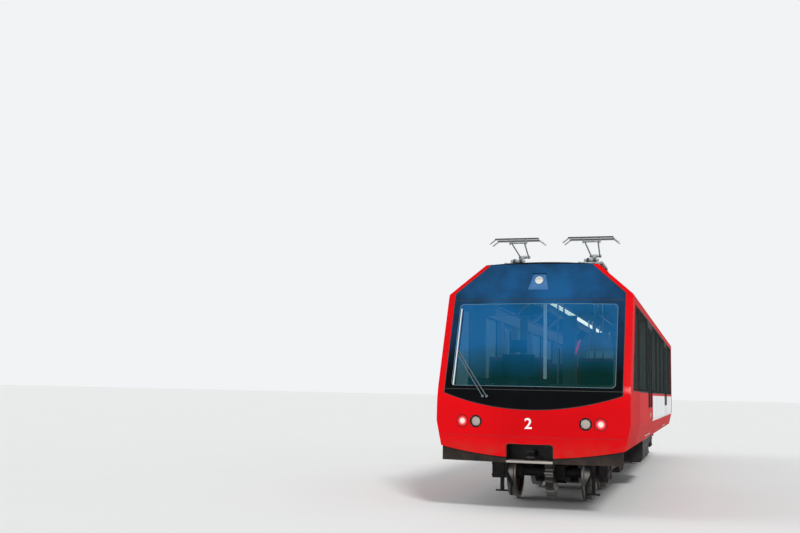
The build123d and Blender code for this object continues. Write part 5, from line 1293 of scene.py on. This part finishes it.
class RACK_CAR_OT_fit_wheels(bpy.types.Operator):
    """Bolt the hubs of the wheels and of the pinions"""

    bl_idname = "rack_car.fit_wheels"
    bl_label = "Fit wheels"

    def execute(self, context):
        for number, distance in enumerate(AXLES, 1):
            # how far out each circle of bolts lies, their count and the circle's radius
            circles = [(0.6, 8, 0.092)] + [(0.06, 10, 0.115)] * (number in PINION_AXLES)
            places = [
                ((side * out, aft(distance) + dy, AXLE_Z + dz), (side, 0, 0))
                for out, count, radius in circles for side in SIDES.values() for dy, dz in ring(count, radius)
            ]
            bolts(f"hub_bolts_{number}", places, 0.014, f"axle_{number}")
        return {"FINISHED"}


class RACK_CAR_OT_fit_underfloor(bpy.types.Operator):
    """Hinge and latch the underfloor cases' doors, and run the conduits between them"""

    bl_idname = "rack_car.fit_underfloor"
    bl_label = "Fit underfloor"

    def execute(self, context):
        top, gap = SKIRT_Z - 0.045, 0.012
        # each case's side of the car, its ends, its lower edge and how many doors it has
        cases = {"converter_box": (-1, 4.9, 7.4, 0.38, 3), "battery_box": (1, 4.9, 6.7, 0.4, 2)}
        for name, (side, start, end, low, doors) in cases.items():
            hinges, latches, places = bmesh.new(), bmesh.new(), []
            width = (end - start - gap) / doors - gap
            for i, share in product(range(doors), (0.2, 0.8)):
                y = aft(start + gap + i * (width + gap) + width * share)
                add_bar(hinges, (side * 1.106, y - 0.05, top), (side * 1.106, y + 0.05, top), 0.008, 12)
                places += [((side * 1.108, y + dy, top - 0.035), (side, 0, 0)) for dy in (-0.022, 0.022)]
                add_turned(latches, (
                    (0.0, 0.0), (0.024, 0.0), (0.024, 0.006), (0.02, 0.009), (0.0, 0.009),
                ), (side * 1.1035, y, low + 0.1), (side, 0, 0), 20)
                # the hinge's leaf, and the latch's wing
                for part, half, near, far, bottom, head, edge in (
                    (hinges, 0.035, 1.103, 1.108, top - 0.05, top - 0.002, 0.001),
                    (latches, 0.006, 1.11, 1.122, low + 0.082, low + 0.118, 0.002),
                ):
                    add_block(part, (side * near, y - half, bottom), (side * far, y + half, head), edge)
            close_form(f"{name}_hinges", hinges, finish(galvanised_steel))
            close_form(f"{name}_latches", latches, finish(plated_fastener))
            bolts(f"{name}_hinge_screws", places, 0.008)

        runs = [[(x, aft(7.38), 0.78), (x, aft(7.72), 0.78)] for x in (-0.94, -0.86)]
        for outer, inner, bend_aft, turn_aft in ((0.9, 0.6, 9.9, 10.3), (0.97, 0.7, 10.1, 10.45)):
            route = ((outer, 6.68), (outer, bend_aft), (inner, turn_aft), (inner, 10.5))
            runs.append([(x, aft(distance), 0.79) for x, distance in route])
        beads("conduits", runs, 0.02, finish(galvanised_steel), bend=0.1, sides=12)
        return {"FINISHED"}


class RACK_CAR_OT_fit_cab(bpy.types.Operator):
    """Fit the driver's screens, controls and head rest, and the post and signal staff behind"""

    bl_idname = "rack_car.fit_cab"
    bl_label = "Fit cab"

    def execute(self, context):
        form, glass, knobs = bmesh.new(), bmesh.new(), bmesh.new()
        lean = Matrix.Rotation(math.radians(-24), 3, "X")
        # three screens on stalks, each with its glass
        for x in (-0.78, -0.42, 0.02):
            add_block(form, (x - 0.15, aft(0.52), 1.5), (x + 0.15, aft(0.555), 1.71), 0.01, lean)
            add_block(glass, (x - 0.13, aft(0.557), 1.516), (x + 0.13, aft(0.562), 1.694), 0.002, lean)
            add_bar(form, (x, aft(0.56), 1.46), (x, aft(0.54), 1.56), 0.02)
        # two levers with knobs
        for x in (-0.85, -0.15):
            add_bar(knobs, (x, aft(0.74), 1.45), (x, aft(0.72), 1.57), 0.009)
            add_turned(knobs, (
                (0.0, 0.0), (0.02, 0.004), (0.027, 0.022), (0.02, 0.042), (0.0, 0.047),
            ), (x, aft(0.72), 1.56), (0, 0, 1), 20)
        # two rows of push buttons on the slope of the desk
        for i in range(14):
            x, y = 0.25 + 0.045 * (i % 7), 0.66 + 0.06 * (i // 7)
            add_turned(knobs, (
                (0.0, 0.0), (0.012, 0.0), (0.012, 0.012), (0.0, 0.013),
            ), (x, aft(y), 1.535 - (y - 0.43) * 0.2), (0, 0.2, 0.98), 14)
        close_form("driver_screens", form, finish(moulded_plastic, "#15171A"))
        close_form("screen_glass", glass, finish(printed_glass))
        close_form("driver_controls", knobs, finish(moulded_plastic, "#2A2D31"))

        rest = bmesh.new()
        lean = Matrix.Rotation(math.radians(-6), 3, "X")
        add_block(rest, (-0.57, aft(1.66), 2.1), (-0.33, aft(1.72), 2.28), 0.02, lean)
        for x in (-0.52, -0.38):
            add_bar(rest, (x, aft(1.69), 2.03), (x, aft(1.69), 2.14), 0.008)
        close_form("head_rest", rest, finish(moulded_plastic, "#20242A"))

        # a post on the cab's back wall, and a signal staff there with a red grip
        post, staff, grip = bmesh.new(), bmesh.new(), bmesh.new()
        add_block(post, (-0.121, aft(1.903), FLOOR_Z), (-0.074, aft(1.9395), 3.1), 0.006)
        add_bar(staff, (0.335, aft(1.928), FLOOR_Z), (0.335, aft(1.928), 2.36), 0.009)
        add_turned(grip, (
            (0.0, 0.0), (0.008, 0.0), (0.013, 0.03), (0.017, 0.08), (0.017, 0.16), (0.012, 0.21), (0.0, 0.23),
        ), (0.344, aft(1.921), 2.09), (0.3, 0, 0.954), 16)
        # the post and the signal grip carry painted light: their glow stands in for daylight falling on them
        close_form("cab_door_post", post, finish(bright_powder_coat, "#E6EDF0", "#F4F8FA", 0.45))
        close_form("signal_staff", staff, finish(brushed_stainless))
        red = finish(bright_powder_coat, "#F01838", "#FF4058", 1.0)
        close_form("signal_grip", grip, red)
        return {"FINISHED"}


class RACK_CAR_OT_fit_saloon(bpy.types.Operator):
    """Lay the pads on every seat and run the rails along the ceiling"""

    bl_idname = "rack_car.fit_saloon"
    bl_label = "Fit saloon"

    def execute(self, context):
        pads, pitch = bmesh.new(), 0.8
        starts = CAB_LENGTH + 0.35, DOORS[0][1] + 0.25, DOORS[1][1] + 0.25
        ends = DOORS[0][0], DOORS[1][0], REAR_SHELL_AFT
        rows = [
            start + pitch * i
            for start, end in zip(starts, ends) for i in range(int((end - start - 0.575) / pitch) + 1)
        ]
        lean = Matrix.Rotation(math.radians(-11), 3, "X")
        for start in rows:
            for side in SIDES.values():
                for near in (0.33, 0.715):
                    for first, low, last, high, turn in (
                        (0.03, 1.437, 0.38, 1.462, None), (0.438, 1.52, 0.462, 2.02, lean),
                    ):
                        corner = side * near, aft(start + first), low
                        add_block(pads, corner, (side * (near + 0.365), aft(start + last), high), 0.009, turn)
        close_form("seat_pads", pads, finish(woven_moquette))

        rail_z, hanger_z = 2.95, CEILING_Z - 0.01
        rails = [
            [(side * 0.3, aft(y), z) for y, z in (
                (first, hanger_z), (first, rail_z), (last, rail_z), (last, hanger_z),
            )]
            for side in SIDES.values() for first, last in ((5.45, 10.35), (11.85, 14.4))
        ]
        beads("ceiling_rails", rails, 0.016, finish(brushed_stainless), bend=0.08, sides=12)
        return {"FINISHED"}


class RACK_CAR_OT_set_stage(bpy.types.Operator):
    """Lay the floor, light the car and set the camera"""

    bl_idname = "rack_car.set_stage"
    bl_label = "Set stage"

    def execute(self, context):
        scene = context.scene
        stage = scene.rack_car_stage
        form = bmesh.new()
        bmesh.ops.create_grid(form, x_segments=1, y_segments=1, size=600.0)
        mesh = bpy.data.meshes.new("studio_floor")
        form.to_mesh(mesh)
        form.free()
        mesh.materials.append(finish(studio_paint))
        floor = bpy.data.objects.new("studio_floor", mesh)
        scene.collection.objects.link(floor)

        scene.world = bpy.data.worlds.new("studio_world")
        scene.world.use_nodes = True
        scene.world.node_tree.nodes.clear()
        add = partial(add_node, scene.world.node_tree)
        rays = add("LightPath").outputs
        seen = add("Math", rays["Is Camera Ray"], rays["Is Glossy Ray"], operation="MAXIMUM")
        shown = add("Math", seen, rays["Is Transmission Ray"], operation="MAXIMUM")
        light = add("Background", {"Color": "#F2F6FA", "Strength": stage.fill})
        wall = add("Background", {"Color": tuple(stage.backdrop), "Strength": 1.0})
        add("OutputWorld", add("MixShader", shown, light, wall))

        for name, strength, size, turn in (
            ("key_lamp", stage.sun, 12.0, (52, 0, 28)), ("side_lamp", stage.sun * 0.3, 40.0, (60, 0, -75)),
        ):
            lamp = bpy.data.lights.new(name, "SUN")
            lamp.energy = strength
            lamp.angle = math.radians(size)
            holder = bpy.data.objects.new(name, lamp)
            holder.rotation_euler = [math.radians(angle) for angle in turn]
            scene.collection.objects.link(holder)

        camera = bpy.data.cameras.new("camera")
        camera.lens = stage.lens
        camera.sensor_width = 36.0
        camera.clip_end = 2000.0
        scene.camera = bpy.data.objects.new("camera", camera)
        turns = ((stage.yaw, "Z"), (stage.pitch, "X"), (stage.roll, "Y"), (math.pi / 2, "X"))
        place = Matrix.Translation(stage.place)
        for angle, axis in turns:
            place = place @ Matrix.Rotation(angle, 4, axis)
        scene.camera.matrix_world = place
        scene.collection.objects.link(scene.camera)
        scene.view_settings.view_transform = "Standard"
        return {"FINISHED"}


OPERATORS = (
    RACK_CAR_OT_paint_body, RACK_CAR_OT_paint_running_gear, RACK_CAR_OT_paint_interior, RACK_CAR_OT_fit_seals,
    RACK_CAR_OT_fit_number, RACK_CAR_OT_fit_lamps, RACK_CAR_OT_fit_front_trim, RACK_CAR_OT_fit_door_fittings,
    RACK_CAR_OT_fit_sides, RACK_CAR_OT_fit_roof, RACK_CAR_OT_fit_bogies, RACK_CAR_OT_fit_wheels,
    RACK_CAR_OT_fit_underfloor, RACK_CAR_OT_fit_cab, RACK_CAR_OT_fit_saloon, RACK_CAR_OT_set_stage,
)


class RACK_CAR_PT_build(bpy.types.Panel):
    """Lists the steps that finish the car"""

    bl_idname = "RACK_CAR_PT_build"
    bl_label = "Rack car"
    bl_space_type = "VIEW_3D"
    bl_region_type = "UI"
    bl_category = "Rack car"

    def draw(self, context):
        for operator in OPERATORS:
            self.layout.operator(operator.bl_idname)


SETTINGS = {
    "rack_car_paint": PaintSettings, "rack_car_fittings": FittingSettings, "rack_car_stage": StageSettings,
}


def register():
    """Adds the settings, the operators and the panel."""
    for name, group in SETTINGS.items():
        bpy.utils.register_class(group)
        setattr(bpy.types.Scene, name, PointerProperty(type=group))
    for operator in OPERATORS:
        bpy.utils.register_class(operator)
    bpy.utils.register_class(RACK_CAR_PT_build)


def unregister():
    """Takes away what register added."""
    bpy.utils.unregister_class(RACK_CAR_PT_build)
    for operator in reversed(OPERATORS):
        bpy.utils.unregister_class(operator)
    for name, group in reversed(SETTINGS.items()):
        delattr(bpy.types.Scene, name)
        bpy.utils.unregister_class(group)


def main():
    """Builds every piece in order."""
    register()
    for operator in OPERATORS:
        group, step = operator.bl_idname.split(".")
        getattr(getattr(bpy.ops, group), step)()


if __name__ == "__main__":
    main()
